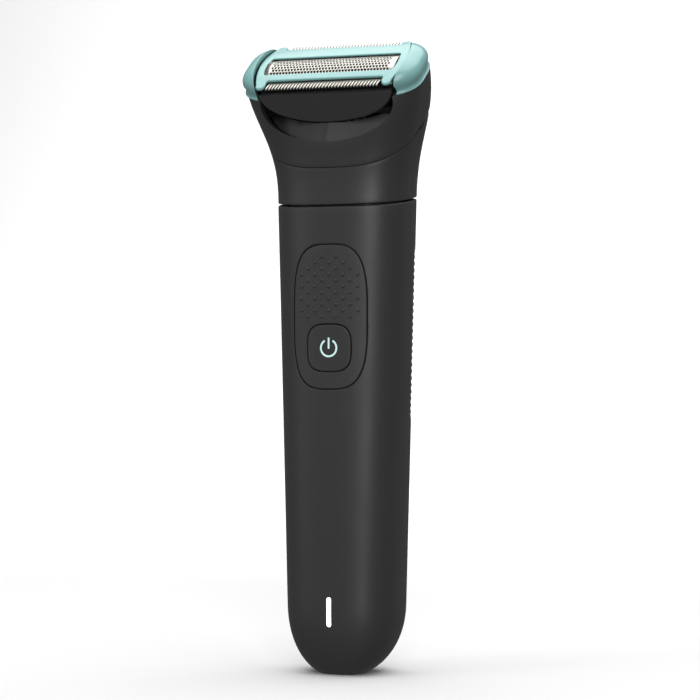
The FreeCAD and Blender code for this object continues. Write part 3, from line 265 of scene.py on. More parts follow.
def make_camera():
    """A long lens, level, to the left of the control side."""
    azimuth = math.radians(21.0)
    distance = 0.650
    sideways = 0.00068
    height = 0.08716
    data = bpy.data.cameras.new("camera")
    data.sensor_width = 36.0
    data.lens = 123.0
    data.clip_start = 0.01
    data.clip_end = 20.0
    camera = bpy.data.objects.new("camera", data)
    across = Vector((math.cos(azimuth), math.sin(azimuth), 0.0))
    ahead = Vector((-math.sin(azimuth), math.cos(azimuth), 0.0))
    camera.location = across * sideways - ahead * distance + Vector((0, 0, height))
    camera.rotation_euler = (math.pi / 2, 0.0, azimuth)
    bpy.context.scene.collection.objects.link(camera)
    bpy.context.scene.camera = camera


def soft_light(name, spot, target, size, power):
    """A rectangular softbox that faces a target."""
    data = bpy.data.lights.new(name, "AREA")
    data.shape = "RECTANGLE"
    data.size, data.size_y = size
    data.energy = power
    lamp = bpy.data.objects.new(name, data)
    lamp.location = spot
    lamp.rotation_euler = (Vector(target) - Vector(spot)).to_track_quat("-Z", "Y").to_euler()
    bpy.context.scene.collection.objects.link(lamp)


def make_lights():
    """Softboxes overhead and on the backdrop, a tall key beside the camera, and a weak fill."""
    world = bpy.data.worlds.new("studio")
    world.use_nodes = True
    world.node_tree.nodes["Background"].inputs["Color"].default_value = (1, 1, 1, 1)
    world.node_tree.nodes["Background"].inputs["Strength"].default_value = 0.2
    bpy.context.scene.world = world
    middle = (0, 0, 0.1)
    soft_light("overhead", (0.0, 0.25, 1.3), (0, 0.25, 0), (1.6, 1.6), 22)
    soft_light("key", (0.42, -0.95, 0.35), middle, (0.3, 0.9), 5.3)
    soft_light("fill", (-0.75, -0.7, 0.35), middle, (0.3, 0.8), 1.3)
    soft_light("backdrop", (0.0, 0.7, 0.9), (0, 1.6, 0.4), (2.0, 0.8), 16)
    bpy.context.scene.view_settings.view_transform = "Standard"


# Mesh helpers ------------------------------------------------------------------------------------


def piece(name, build, slot_name, body, *nodes, spot=None):
    """Turns a mesh drawn in millimetres into a piece that rides on a body and stands for CAD nodes."""
    bmesh.ops.remove_doubles(build, verts=build.verts, dist=0.001)
    bmesh.ops.recalc_face_normals(build, faces=build.faces)
    mesh = bpy.data.meshes.new(name)
    build.to_mesh(mesh)
    build.free()
    mesh.transform(Matrix.Scale(MM, 4))
    if spot is not None:
        mesh.transform(spot)
    mesh.shade_smooth()
    mesh.set_sharp_from_angle(angle=math.radians(38))
    made = bpy.data.objects.new(name, mesh)
    bpy.context.scene.collection.objects.link(made)
    mesh.materials.append(MATERIALS[slot_name])
    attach(made, body)
    if nodes:
        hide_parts(*nodes)
    return made


def mix(low, high, share):
    return low + (high - low) * share


def skin_rings(build, rings, close_first=True, close_last=True):
    """Joins closed rings of equal length into a tube with flat ends."""
    rows = [[build.verts.new(point) for point in ring] for ring in rings]
    join_rows(build, rows)
    if close_first:
        fan(build, rows[0])
    if close_last:
        fan(build, rows[-1])


def join_rows(build, rows):
    """Puts a band of faces between each closed row of vertices and the next."""
    count = len(rows[0])
    for low, high in zip(rows, rows[1:]):
        for index in range(count):
            after = (index + 1) % count
            build.faces.new((low[index], low[after], high[after], high[index]))


def bar(build, rings):
    """A closed bar through rings of four points."""
    rows = [[build.verts.new(point) for point in ring] for ring in rings]
    join_rows(build, rows)
    build.faces.new(rows[0])
    build.faces.new(rows[-1])


def fan(build, row):
    """Closes a ring with triangles about its middle."""
    middle = sum((vertex.co for vertex in row), Vector()) / len(row)
    centre = build.verts.new(middle)
    for first, second in zip(row, row[1:] + row[:1]):
        build.faces.new((first, second, centre))


def even_outline(half_width, half_height, power, count):
    """Points at even steps along a superellipse."""
    dense = 1440
    raw = []
    for index in range(dense):
        angle = 2 * math.pi * index / dense
        across, along = math.cos(angle), math.sin(angle)
        x = half_width * math.copysign(abs(across) ** (2 / power), across)
        z = half_height * math.copysign(abs(along) ** (2 / power), along)
        raw.append(Vector((x, z)))
    return even_steps(raw, count)


def even_steps(raw, count):
    """Picks points at even distances along a closed line."""
    lengths = [0.0]
    for first, second in zip(raw, raw[1:] + raw[:1]):
        lengths.append(lengths[-1] + (second - first).length)
    picked = []
    place = 0
    for index in range(count):
        target = lengths[-1] * index / count
        while lengths[place + 1] < target:
            place += 1
        share = (target - lengths[place]) / max(lengths[place + 1] - lengths[place], 1e-9)
        picked.append(raw[place].lerp(raw[(place + 1) % len(raw)], share))
    return picked


def grown(outline, distance):
    """A closed flat outline moved outward along its normals."""
    count = len(outline)
    moved = []
    for index, point in enumerate(outline):
        tangent = outline[(index + 1) % count] - outline[index - 1]
        normal = Vector((tangent.y, -tangent.x)).normalized()
        moved.append(point + normal * distance)
    return moved


def dome(build, spot, normal, radius, height, around=14, rings=4):
    """A low closed lens that stands half out of a surface."""
    side = normal.orthogonal().normalized()
    other = normal.cross(side)
    rows = []
    for level in range(-rings + 1, rings):
        angle = math.pi / 2 * level / rings
        reach = radius * math.cos(angle)
        lift = normal * (height * math.sin(angle))
        rows.append([
            spot + lift + (side * math.cos(turn) + other * math.sin(turn)) * reach
            for turn in (2 * math.pi * step / around for step in range(around))
        ])
    skin_rings(build, rows)


def take_away(target, build, name):
    """Cuts a closed shape out of a piece, both in the frame's axes."""
    bmesh.ops.recalc_face_normals(build, faces=build.faces)
    mesh = bpy.data.meshes.new(name)
    build.to_mesh(mesh)
    build.free()
    mesh.transform(Matrix.Scale(MM, 4))
    tool = bpy.data.objects.new(name, mesh)
    bpy.context.scene.collection.objects.link(tool)
    cutter = target.modifiers.new(name, "BOOLEAN")
    cutter.object = tool
    cutter.operation = "DIFFERENCE"
    cutter.solver = "EXACT"
    bpy.context.view_layer.update()
    shaped = bpy.data.meshes.new_from_object(target.evaluated_get(bpy.context.evaluated_depsgraph_get()))
    target.modifiers.clear()
    target.data = shaped
    shaped.shade_smooth()
    shaped.set_sharp_from_angle(angle=math.radians(38))
    bpy.data.objects.remove(tool)


# Handle -------------------------------------------------------------------------------------------

WALL = 2.2
CLEAR_OF_FRONT = -20.0
FOOT_RISE = 18.5
FOOT_ROUNDNESS = 2 / 2.2
FOOT_FLAT = 0.4
FOOT_SHIFT = 5.0
SEAM_TILT = math.tan(math.radians(8.0))
COLUMNS = 200


def handle_half_width(height):
    """Half the handle's width, which grows evenly from the foot to the seam."""
    return mix(HALF_WIDTH_FOOT, HALF_WIDTH_TOP, height / HANDLE_TOP)


def front_depth(x, height):
    """How far in front of the axis the control side stands at x."""
    share = min(abs(x) / handle_half_width(height), 1.0)
    return DEPTH_FRONT * (1 - share ** HANDLE_POWER) ** (1 / HANDLE_POWER)


def handle_ring(height, inward=0.0, share=1.0):
    """The handle's outline at a height: flatter in front, a little shallower behind."""
    width = share * (handle_half_width(height) - inward)
    front = share * (DEPTH_FRONT - inward)
    back = share * (mix(DEPTH_BACK_FOOT, DEPTH_BACK_TOP, height / HANDLE_TOP) - inward)
    shift = -FOOT_SHIFT * (1 - share)
    ring = []
    for point in even_outline(width, 1.0, HANDLE_POWER, COLUMNS):
        depth = back if point.y > 0 else front
        ring.append(Vector((point.x, shift + point.y * depth, height)))
    return ring


def foot_rings(inward, steps):
    """Rings of the rounded foot, from its flat to where the sides begin."""
    start = math.asin(FOOT_FLAT ** (1 / FOOT_ROUNDNESS))
    rings = []
    for index in range(steps):
        angle = start + (math.pi / 2 - start) * index / steps
        drop = (math.cos(angle) / math.cos(start)) ** FOOT_ROUNDNESS
        height = inward + (FOOT_RISE - inward) * (1 - drop)
        rings.append(handle_ring(height, inward, math.sin(angle) ** FOOT_ROUNDNESS))
    return rings


def under_seam(ring, below, blend_from=100.0):
    """Tips the rings near the top so that the last lies on the slanted seam."""
    moved = []
    for point in ring:
        share = (point.z - blend_from) / (HANDLE_TOP - blend_from)
        rim = HANDLE_TOP - 0.3 - below + point.y * SEAM_TILT
        moved.append(Vector((point.x, point.y, mix(blend_from, rim, share))) if share > 0 else point)
    return moved


def side_rings(steps, inward, below):
    """Rings from the foot's rounding up to the seam."""
    heights = [mix(FOOT_RISE, HANDLE_TOP, step / steps) for step in range(steps + 1)]
    return [under_seam(handle_ring(height, inward), below) for height in heights]


def handle_skin():
    """The handle as one closed shell: outside, rounded rim and inside."""
    outer = foot_rings(0.0, 26) + side_rings(100, 0.0, 0.45)
    rounding = ((0.03, 0.25), (0.12, 0.09), (0.3, 0.0), (WALL - 0.15, 0.0), (WALL, 0.15))
    rim = [under_seam(handle_ring(HANDLE_TOP, inward), below) for inward, below in rounding]
    inner = side_rings(20, WALL, 0.4)[-2::-1]
    inner += list(reversed(foot_rings(WALL, 10)))
    build = bmesh.new()
    skin_rings(build, outer + rim + inner)
    return piece("handle_body", build, "body_plastic", "handle", "handle_shell")


def on_front(outline, height, below):
    """Lays a flat outline of x and z on the control side, some way below its surface."""
    placed = []
    for point in outline:
        z = height + point.y
        placed.append(Vector((point.x, below - front_depth(point.x, z), z)))
    return placed


def lipped_cutter(outline, height, depth, lip=0.16):
    """A well for an inlay, whose upper edge opens out in a small curve."""
    rings = [[Vector((point.x, CLEAR_OF_FRONT, height + point.y)) for point in grown(outline, lip)]]
    for step in range(6):
        angle = math.pi / 2 * step / 5
        edge = grown(outline, lip * (1 - math.sin(angle)))
        rings.append(on_front(edge, height, lip * (1 - math.cos(angle)) - 0.01))
    rings.append(on_front(outline, height, depth))
    build = bmesh.new()
    skin_rings(build, rings)
    return build


def pad_on_front(outline, height, thickness, edge=0.18):
    """A closed pad on the control side with a rounded edge."""
    rings = [on_front([point * 0.04 * step for point in outline], height, 0.0) for step in range(1, 24)]
    for below, inset in rounded_edge(edge):
        rings.append(on_front(grown(outline, -inset), height, below))
    rings.append(on_front(outline, height, thickness))
    build = bmesh.new()
    skin_rings(build, rings)
    return build


def rounded_edge(edge):
    """Depth and inset of the points of a quarter round, from the top to the side."""
    turns = [math.pi / 2 * step / 6 for step in range(7)]
    return [(edge * (1 - math.cos(turn)), edge * (1 - math.sin(turn))) for turn in turns]


INLAY_HEIGHT = 96.0
BUTTON_HEIGHT = 87.7
GROOVE = 0.32
INLAY_HALF_WIDTH = 10.3
INLAY_HALF_HEIGHT = 19.15
INLAY_SQUARENESS = 3.3
INLAY = even_outline(INLAY_HALF_WIDTH, INLAY_HALF_HEIGHT, INLAY_SQUARENESS, 220)
BUTTON = even_outline(6.1, 6.2, 3.2, 220)
DOT_PITCH = 2.0
DOT_RISE = 3.2
DOT_LOWEST = 94.5
DOT_START = 97.7


def control_inlay():
    """The inlay with the hole for the button."""
    drop = Vector((0.0, BUTTON_HEIGHT - INLAY_HEIGHT))
    hole = [point + drop for point in grown(BUTTON, GROOVE)]
    edge = 0.18
    rings = [on_front(INLAY, INLAY_HEIGHT, 1.4)]
    for below, inset in reversed(rounded_edge(edge)):
        rings.append(on_front(grown(INLAY, -inset), INLAY_HEIGHT, below))
    outer, inner = grown(INLAY, -edge), grown(hole, edge)
    for step in range(1, 14):
        between = [first.lerp(last, step / 14) for first, last in zip(outer, inner)]
        rings.append(on_front(between, INLAY_HEIGHT, 0.0))
    for below, inset in rounded_edge(edge):
        rings.append(on_front(grown(hole, inset), INLAY_HEIGHT, below))
    rings.append(on_front(hole, INLAY_HEIGHT, 1.4))
    rings.append(rings[0])
    build = bmesh.new()
    skin_rings(build, rings, False, False)
    piece("thumb_inlay", build, "inlay_rubber", "handle", "control_inlay")


def thumb_dots():
    """Field of low dots above the button, in staggered columns."""
    build = bmesh.new()
    for column in range(-4, 5):
        x = column * DOT_PITCH
        rise = (1 - abs(x / INLAY_HALF_WIDTH) ** INLAY_SQUARENESS) ** (1 / INLAY_SQUARENESS)
        top = INLAY_HEIGHT + INLAY_HALF_HEIGHT * rise
        shift = DOT_RISE / 2 if column % 2 else 0.0
        for row in range(-2, 7):
            z = DOT_START + row * DOT_RISE - shift
            if DOT_LOWEST + (1.5 if abs(column) < 3 else 0.0) < z < top - 2.6:
                slope = (front_depth(x - 0.05, z) - front_depth(x + 0.05, z)) / 0.1
                normal = Vector((slope, -1.0, 0.0)).normalized()
                dome(build, Vector((x, -front_depth(x, z), z)), normal, 0.52, 0.3)
    piece("thumb_dots", build, "inlay_rubber", "handle")


def power_button():
    """The button's cap with the stem behind it."""
    build = pad_on_front(BUTTON, BUTTON_HEIGHT, 0.9, edge=0.2)
    radius = 2.4
    turns = [2 * math.pi * step / 32 for step in range(32)]
    stem = [
        Vector((radius * math.cos(turn), -13.3, BUTTON_HEIGHT + radius * math.sin(turn)))
        for turn in turns
    ]
    length = Vector((0, 1.65, 0))
    skin_rings(build, [stem, [point + length for point in stem]])
    piece("button_cap", build, "button_plastic", "button", "power_button")


def ribbon_on_front(build, pairs, height):
    """A flat inlaid band on the control side, from pairs of points across it."""
    rings = []
    for first, last in pairs:
        top = on_front((first, last), height, -0.03)
        low = on_front((last, first), height, 0.3)
        rings.append(top + low)
    bar(build, rings)


def power_symbol():
    """The stand-by mark: a ring open at the top, with a short bar in the opening."""
    radius = 2.22
    half = 0.24
    opening = math.radians(30)
    build = bmesh.new()
    pairs = []
    for step in range(61):
        angle = math.pi / 2 + opening + (2 * math.pi - 2 * opening) * step / 60
        outward = Vector((math.cos(angle), math.sin(angle)))
        pairs.append((outward * (radius - half), outward * (radius + half)))
    ribbon_on_front(build, pairs, BUTTON_HEIGHT)
    heights = [mix(-0.2, 2.75, step / 6) for step in range(7)]
    stroke = [(Vector((-half, z)), Vector((half, z))) for z in heights]
    ribbon_on_front(build, stroke, BUTTON_HEIGHT)
    piece("button_mark", build, "symbol_plastic", "button", "power_symbol")


GRIP_FOOT = 66.0
GRIP_TOP = 117.0
GRIP_FRONT = 3.0
GRIP_CORNER = 8.0


def grip_edge(z, inset):
    """How far forward the pad reaches at a height: less near its rounded corners."""
    near = min(z - GRIP_FOOT, GRIP_TOP - z) - inset
    reach = GRIP_CORNER - inset
    if near >= reach:
        return GRIP_FRONT + inset
    return GRIP_FRONT + inset + reach - math.sqrt(max(reach ** 2 - (reach - near) ** 2, 0.0))


def back_line(height, inward, front, count):
    """Points around the back of the handle, from one side to the other, at a height."""
    width = handle_half_width(height) - inward
    back = mix(DEPTH_BACK_FOOT, DEPTH_BACK_TOP, height / HANDLE_TOP) - inward
    start = math.asin(min((max(front, 0.01) / back) ** (HANDLE_POWER / 2), 1.0))
    raw = []
    for index in range(361):
        angle = mix(start, math.pi - start, index / 360)
        across = math.cos(angle)
        x = width * math.copysign(abs(across) ** (2 / HANDLE_POWER), across)
        raw.append(Vector((x, back * math.sin(angle) ** (2 / HANDLE_POWER))))
    lengths = [0.0]
    for first, second in zip(raw, raw[1:]):
        lengths.append(lengths[-1] + (second - first).length)
    line = []
    place = 0
    for index in range(count):
        target = lengths[-1] * index / (count - 1)
        while place < 359 and lengths[place + 1] < target:
            place += 1
        share = (target - lengths[place]) / max(lengths[place + 1] - lengths[place], 1e-9)
        flat = raw[place].lerp(raw[place + 1], min(share, 1.0))
        line.append(Vector((flat.x, flat.y, height)))
    return line


def grip_shape(inset, inward, rows=60, count=90):
    """The rounded patch of the back, as rows of points."""
    low, high = GRIP_FOOT + inset, GRIP_TOP - inset
    heights = [mix(low, high, 0.5 - 0.5 * math.cos(math.pi * step / rows)) for step in range(rows + 1)]
    return [back_line(z, inward, grip_edge(z, inset), count) for z in heights]


def close_patch(build, layers):
    """Skins a stack of row patches into one closed pad: first and last are its two faces."""
    grids = [[[build.verts.new(point) for point in row] for row in layer] for layer in layers]
    for grid in (grids[0], grids[-1]):
        for low, high in zip(grid, grid[1:]):
            for index in range(len(low) - 1):
                build.faces.new((low[index], low[index + 1], high[index + 1], high[index]))
    rims = []
    for grid in grids:
        left = [row[0] for row in grid[1:-1]]
        right = [row[-1] for row in grid[1:-1]]
        rims.append(grid[0] + right + list(reversed(grid[-1])) + list(reversed(left)))
    join_rows(build, rims)


def back_grip():
    """Rubber pad around the back, with low dots in staggered rows."""
    face = 0.22
    build = bmesh.new()
    rounding = ((0.55, face), (0.28, face + 0.08), (0.14, face + 0.25), (0.14, 1.15))
    close_patch(build, [grip_shape(inset, inward) for inset, inward in rounding])
    pitch = 2.1
    rise = pitch * 0.87
    rows = int((GRIP_TOP - GRIP_FOOT - 5.0) / rise)
    for row in range(rows):
        z = GRIP_FOOT + 2.6 + row * rise
        fine = back_line(z, face, grip_edge(z, 2.0), 400)
        length = sum((b - a).length for a, b in zip(fine, fine[1:]))
        across = int(length / pitch)
        across -= (across + row) % 2
        for step in range(across + 1):
            share = 0.5 + (step - across / 2) * pitch / length
            index = min(max(int(share * 399), 1), 398)
            tangent = (fine[index + 1] - fine[index - 1]).normalized()
            normal = Vector((tangent.y, -tangent.x, 0.0))
            if normal.y < 0 and abs(fine[index].x) < 15:
                normal = -normal
            if normal.dot(Vector((fine[index].x, fine[index].y, 0))) < 0:
                normal = -normal
            dome(build, fine[index], normal, 0.62, 0.2, 12, 3)
    piece("grip_pad", build, "grip_rubber", "handle", "back_grip")


def grip_recess():
    """The shallow well that the grip lies in."""
    build = bmesh.new()
    close_patch(build, [grip_shape(0.0, -1.2), grip_shape(0.05, 1.2)])
    return build


LIGHT_HEIGHT = 17.3
LIGHT_RADIUS = 0.62
LIGHT_HALF_LENGTH = 3.95
INLET_BACK = -3.0
INLET_RADIUS = 2.9
INLET_HALF_WIDTH = 4.3


def light_slot():
    """An upright slot with round ends, through the control side."""
    radius = LIGHT_RADIUS + 0.02
    straight = LIGHT_HALF_LENGTH - LIGHT_RADIUS
    outline = []
    for step in range(24):
        angle = 2 * math.pi * step / 24
        lift = straight if math.sin(angle) >= 0 else -straight
        outline.append((radius * math.cos(angle), LIGHT_HEIGHT + radius * math.sin(angle) + lift))
    build = bmesh.new()
    skin_rings(build, [[Vector((x, y, z)) for x, z in outline] for y in (-16.0, -9.0)])
    return build


def inlet_slot():
    """The opening of the charging inlet in the foot."""
    straight = INLET_HALF_WIDTH - INLET_RADIUS
    outline = []
    for step in range(48):
        angle = 2 * math.pi * step / 48
        aside = straight if math.cos(angle) >= 0 else -straight
        outline.append((INLET_RADIUS * math.cos(angle) + aside, INLET_RADIUS * math.sin(angle) + INLET_BACK))
    build = bmesh.new()
    skin_rings(build, [[Vector((x, y, z)) for x, y in outline] for z in (-1.0, 8.0)])
    return build


def handle():
    """The handle with its wells, and everything that shows on it."""
    body = handle_skin()
    take_away(body, inlet_slot(), "inlet_well")
    take_away(body, lipped_cutter(grown(INLAY, GROOVE), INLAY_HEIGHT, 1.5), "inlay_well")
    take_away(body, grip_recess(), "grip_well")
    take_away(body, light_slot(), "light_well")
    control_inlay()
    thumb_dots()
    power_button()
    power_symbol()
    back_grip()


# Shaving unit -------------------------------------------------------------------------------------

ARCH_RADIUS = 60.0
ARCH_CROWN = 0.1
END_RADIUS = 29.0
END_HALF_WIDTH = 20.95
LOBE = 1.4
LOBE_REACH = 11.3
LOBE_X = 17.95
BAR_FRONT = 8.0
BAR_BACK = 8.9
WINDOW_HALF_LENGTH = 4.25
WINDOW_HALF_WIDTH = 18.7
FOIL_SHIFT = 1.05
FOIL_RADIUS = 7.6
FOIL_CROWN = 0.4
SKIRT_FOOT = -2.2
SKIRT_HALF_LENGTH = 9.6
SKIRT_THICKNESS = 1.1
STRIP_INNER = 6.7
STRIP_THICKNESS = 0.33
BLADE_DROP = 0.42


def arch(along):
    """How high the unit's arch stands at a place from front to back."""
    return ARCH_CROWN - ARCH_RADIUS + math.sqrt(ARCH_RADIUS ** 2 - along ** 2)


def end_arc(half_width, along):
    """Half width of a shape whose ends are arcs about the unit's middle."""
    return half_width - END_RADIUS + math.sqrt(END_RADIUS ** 2 - along ** 2)


def end_points(half_width, half_length, steps):
    """Points along one end arc, front to back."""
    places = [mix(-half_length, half_length, step / steps) for step in range(steps + 1)]
    return [Vector((end_arc(half_width, along), along)) for along in places]


def corner(centre, radius, start, end, steps=8):
    """Points of an arc in the x and along plane, angles in degrees."""
    points = []
    for step in range(steps + 1):
        angle = math.radians(mix(start, end, step / steps))
        points.append(Vector((centre[0] + radius * math.cos(angle), centre[1] + radius * math.sin(angle))))
    return points


def frame_outline():
    """The frame's plan: arc ends, a rounded lobe at each corner, and the bars between them."""
    lobe_y = LOBE_REACH - LOBE
    right = end_points(END_HALF_WIDTH, lobe_y, 24)
    back = corner((LOBE_X, lobe_y), LOBE, 0, 180)[1:]
    back += corner((LOBE_X - LOBE - 0.5, BAR_BACK + 0.5), 0.5, 0, -90, 4)
    front = corner((LOBE_X, -lobe_y), LOBE, -180, 0)[:-1]
    front = corner((LOBE_X - LOBE - 0.5, -BAR_FRONT - 0.5), 0.5, 90, 0, 4) + front
    half = front + right + back
    return half + [Vector((-point.x, point.y)) for point in reversed(half)]


def window_outline():
    """The opening over the foil, with small round corners and ends that follow the arcs."""
    radius = 0.8
    side = WINDOW_HALF_LENGTH - radius
    inner = end_arc(WINDOW_HALF_WIDTH, side) - radius
    half = corner((inner, -side), radius, -90, 0, 6)
    half += end_points(WINDOW_HALF_WIDTH, side, 10)[1:-1]
    half += corner((inner, side), radius, 0, 90, 6)
    half = [Vector((point.x, point.y - FOIL_SHIFT)) for point in half]
    return half + [Vector((-point.x, point.y)) for point in reversed(half)]


def plate(outlines, thickness, edge):
    """A flat plate with rounded edges, its top at zero, drawn from closed outlines in millimetres."""
    data = bpy.data.curves.new("plate", "CURVE")
    data.dimensions = "2D"
    data.fill_mode = "BOTH"
    data.extrude = thickness / 2 - edge
    data.bevel_depth = edge
    data.bevel_resolution = 3
    data.offset = -edge
    for outline in outlines:
        spline = data.splines.new("POLY")
        spline.points.add(len(outline) - 1)
        for target, point in zip(spline.points, outline):
            target.co = (point.x, point.y, 0, 1)
        spline.use_cyclic_u = True
    holder = bpy.data.objects.new("plate", data)
    bpy.context.scene.collection.objects.link(holder)
    bpy.context.view_layer.update()
    mesh = bpy.data.meshes.new_from_object(holder.evaluated_get(bpy.context.evaluated_depsgraph_get()))
    bpy.data.objects.remove(holder)
    build = bmesh.new()
    build.from_mesh(mesh)
    bpy.data.meshes.remove(mesh)
    bmesh.ops.remove_doubles(build, verts=build.verts, dist=0.0005)
    bmesh.ops.translate(build, verts=build.verts, vec=(0, 0, -thickness / 2))
    return build


def slice_along(build, low, high, step):
    """Adds cuts across a plate so that it can be bent front to back."""
    place = low
    while place < high:
        everything = build.verts[:] + build.edges[:] + build.faces[:]
        spot = (0, place, 0)
        bmesh.ops.bisect_plane(build, geom=everything, plane_co=spot, plane_no=(0, 1, 0), dist=0.0002)
        place += step


def skirt_ring(side, lift):
    """A ring round the wall under one end of the frame, at a share of its height."""
    line = end_points(END_HALF_WIDTH - 0.12, SKIRT_HALF_LENGTH, 20)
    outer = [
        Vector((side * point.x, point.y, mix(SKIRT_FOOT, arch(point.y) - 0.6, lift)))
        for point in line
    ]
    inward = Vector((side * SKIRT_THICKNESS, 0, 0))
    return outer + [point - inward for point in reversed(outer)]


def foil_frame():
    """The arched frame around the foil, with a wall under each end."""
    build = plate([frame_outline(), window_outline()], 0.8, 0.3)
    slice_along(build, -11.0, 11.1, 0.55)
    for vertex in build.verts:
        vertex.co.z += arch(vertex.co.y)
    for side in (-1, 1):
        skirt(build, [skirt_ring(side, lift) for lift in (0.0, 1 / 1.8, 1.0)])
    piece("frame_shell", build, "mint_plastic", "cassette", "foil_frame", spot=LEAN)


def skirt(build, rings):
    """A closed wall from rings whose second half runs back beside the first."""
    rows = [[build.verts.new(point) for point in ring] for ring in rings]
    join_rows(build, rows)
    count = len(rows[0])
    for row in (rows[0], rows[-1]):
        for index in range(count // 2 - 1):
            build.faces.new((row[index], row[index + 1], row[count - 2 - index], row[count - 1 - index]))


def on_foil(x, distance):
    """A point on the foil, distance being measured around its curve from the crown."""
    angle = distance / FOIL_RADIUS
    height = FOIL_CROWN - FOIL_RADIUS + FOIL_RADIUS * math.cos(angle)
    return Vector((x, FOIL_RADIUS * math.sin(angle) - FOIL_SHIFT, height))


def foil():
    """Perforated arched sheet: staggered diamond holes between plain margins."""
    pitch = 0.9
    half_rise = 1.0
    columns = 38
    rows = 8
    hole = Vector((0.34, 0.45))
    build = bmesh.new()
    start = -columns * pitch / 2
    top = -rows * half_rise / 2
    for row in range(rows):
        shift = pitch / 2 if row % 2 else 0.0
        for column in range(columns - row % 2):
            x = start + shift + (column + 0.5) * pitch
            middle = top + (row + 0.5) * half_rise
            perforated_cell(build, x, middle, pitch, half_rise, hole)
        if row % 2:
            for side in (-1, 1):
                margin(build, side * -start, side * (-start - pitch / 2), top + row * half_rise, half_rise)
    edge = WINDOW_HALF_WIDTH - 0.06
    for row in range(rows):
        for side in (-1, 1):
            margin(build, side * edge, side * -start, top + row * half_rise, half_rise)
    reach = 5.6
    steps = 3
    for low, high in ((-reach, top), (-top, reach)):
        rise = (high - low) / steps
        for step in range(steps):
            for left, right in column_edges(edge, start, pitch, columns):
                quad(build, left, right, low + step * rise, rise)
    bmesh.ops.remove_doubles(build, verts=build.verts, dist=0.0015)
    bmesh.ops.recalc_face_normals(build, faces=build.faces)
    made = piece("foil_sheet", build, "foil_steel", "cassette", "foil", spot=LEAN)
    solid = made.modifiers.new("thickness", "SOLIDIFY")
    solid.thickness = 0.1 * MM
    solid.offset = -1


def column_edges(edge, start, pitch, columns):
    """Left and right of each face in the plain strips, in line with the holes' cells."""
    places = [-edge] + [start + step * pitch / 2 for step in range(2 * columns + 1)] + [edge]
    return list(zip(places, places[1:]))


def quad(build, left, right, low, rise):
    """One plain face of the foil."""
    corners = ((left, low), (right, low), (right, low + rise), (left, low + rise))
    build.faces.new([build.verts.new(on_foil(x, place)) for x, place in corners])


def margin(build, outer, inner, low, rise):
    """A plain face between two places across the foil, in either order."""
    quad(build, min(outer, inner), max(outer, inner), low, rise)


def perforated_cell(build, x, middle, pitch, rise, hole):
    """One cell of the foil: eight faces around a diamond hole."""
    across = (-1, 0, 1, 1, 1, 0, -1, -1)
    up = (-1, -1, -1, 0, 1, 1, 1, 0)
    outer, inner = [], []
    for right, high in zip(across, up):
        outer.append(build.verts.new(on_foil(x + right * pitch / 2, middle + high * rise / 2)))
        reach = 0.6 if right and high else 1.0
        inner.append(build.verts.new(on_foil(x + right * hole.x * reach, middle + high * hole.y * reach)))
    for index in range(8):
        after = (index + 1) % 8
        build.faces.new((outer[index], outer[after], inner[after], inner[index]))


def tooth_row(build, profile, half_width, pitch, width, slant):
    """Slanted teeth that follow a profile of along and up, each with a pointed tip."""
    count = int((2 * half_width - width) / pitch)
    start = -count * pitch / 2
    thickness = 0.3
    for index in range(count + 1):
        rings = []
        for step, (along, up) in enumerate(profile):
            share = step / (len(profile) - 1)
            half = width / 2 * (1.0 if share < 0.75 else mix(1.0, 0.45, (share - 0.75) / 0.25))
            x = start + index * pitch + slant * share
            rings.append([
                Vector((x - half, along, up - thickness)),
                Vector((x + half, along, up - thickness)),
                Vector((x + half * 0.8, along, up)),
                Vector((x - half * 0.8, along, up)),
            ])
        bar(build, rings)


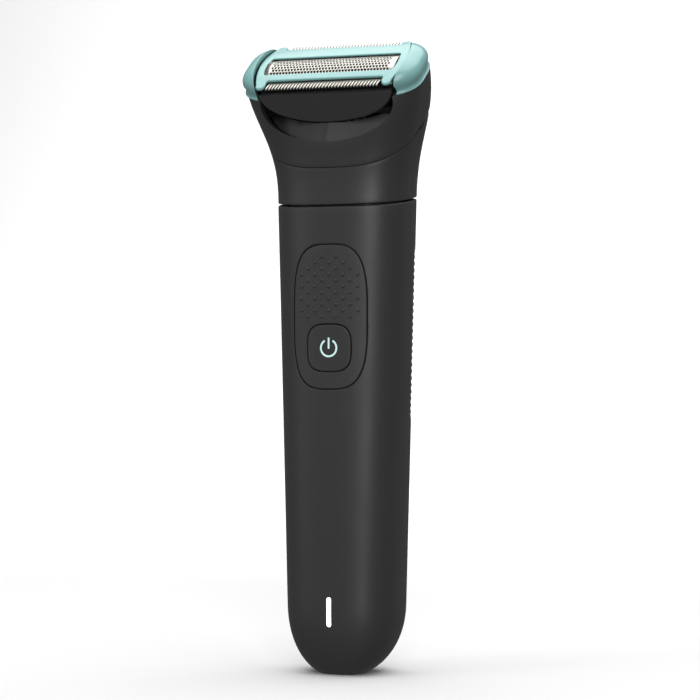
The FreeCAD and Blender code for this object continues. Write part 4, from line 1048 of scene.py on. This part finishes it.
def strip(build, half_width, profile):
    """A flat sheet strip, closed all round."""
    rings = []
    for along, up in profile:
        low = up - STRIP_THICKNESS
        rings.append([
            Vector((-half_width, along, low)),
            Vector((half_width, along, low)),
            Vector((half_width, along, up)),
            Vector((-half_width, along, up)),
        ])
    bar(build, rings)


# How the teeth bend from root to tip: ahead of the root, and up.
FRONT_BEND = [(0.0, 0.0), (0.9, -0.02), (1.6, -0.18), (2.1, -0.42)]
BACK_BEND = [(0.0, 0.0), (0.9, 0.1), (1.7, 0.22), (2.3, 0.28)]


def trimmer(side, sign, drop, reach, bend):
    """A comb and the moving blade under it, with slanted teeth."""
    half_width = 16.2
    root = reach - bend[-1][0]
    profile = [(sign * (root + ahead), drop + up) for ahead, up in bend]
    build = bmesh.new()
    tooth_row(build, profile, half_width, 0.9, 0.44, sign * 0.6)
    strip(build, half_width, [(sign * STRIP_INNER, drop), (sign * (root + 0.1), drop)])
    piece(side + "_comb_teeth", build, "blade_steel", "cassette", side + "_comb", spot=LEAN)
    half_width -= 0.9
    low = drop - BLADE_DROP
    profile = [(along - sign * 0.35, up - BLADE_DROP) for along, up in profile[:-1]]
    build = bmesh.new()
    tooth_row(build, profile, half_width, 1.26, 0.5, -0.25)
    strip(build, half_width, [(sign * STRIP_INNER, low), (sign * (root - 0.2), low)])
    piece(side + "_blade_teeth", build, "blade_steel", "cutters", side + "_blade", spot=LEAN)


def soften(name, width):
    """Rounds the moulded edges of a CAD node."""
    node = NODES[name]
    weld = node.modifiers.new("weld", "WELD")
    weld.merge_threshold = 0.002 * MM
    round_off = node.modifiers.new("round", "BEVEL")
    round_off.width = width * MM
    round_off.segments = 3
    round_off.limit_method = "ANGLE"
    round_off.angle_limit = math.radians(35.0)


def shaving_unit():
    """The cassette's visible pieces, and softer edges for the head around it."""
    foil_frame()
    foil()
    trimmer("front", -1, -1.27, 10.75, FRONT_BEND)
    trimmer("back", 1, -1.37, 11.25, BACK_BEND)
    for name in ("side_cap_left", "side_cap_right"):
        soften(name, 0.22)
    for name in ("front_panel", "head_housing", "neck_shell"):
        soften(name, 0.18)


finish_all_nodes()
make_stage()
make_camera()
make_lights()
handle()
shaving_unit()
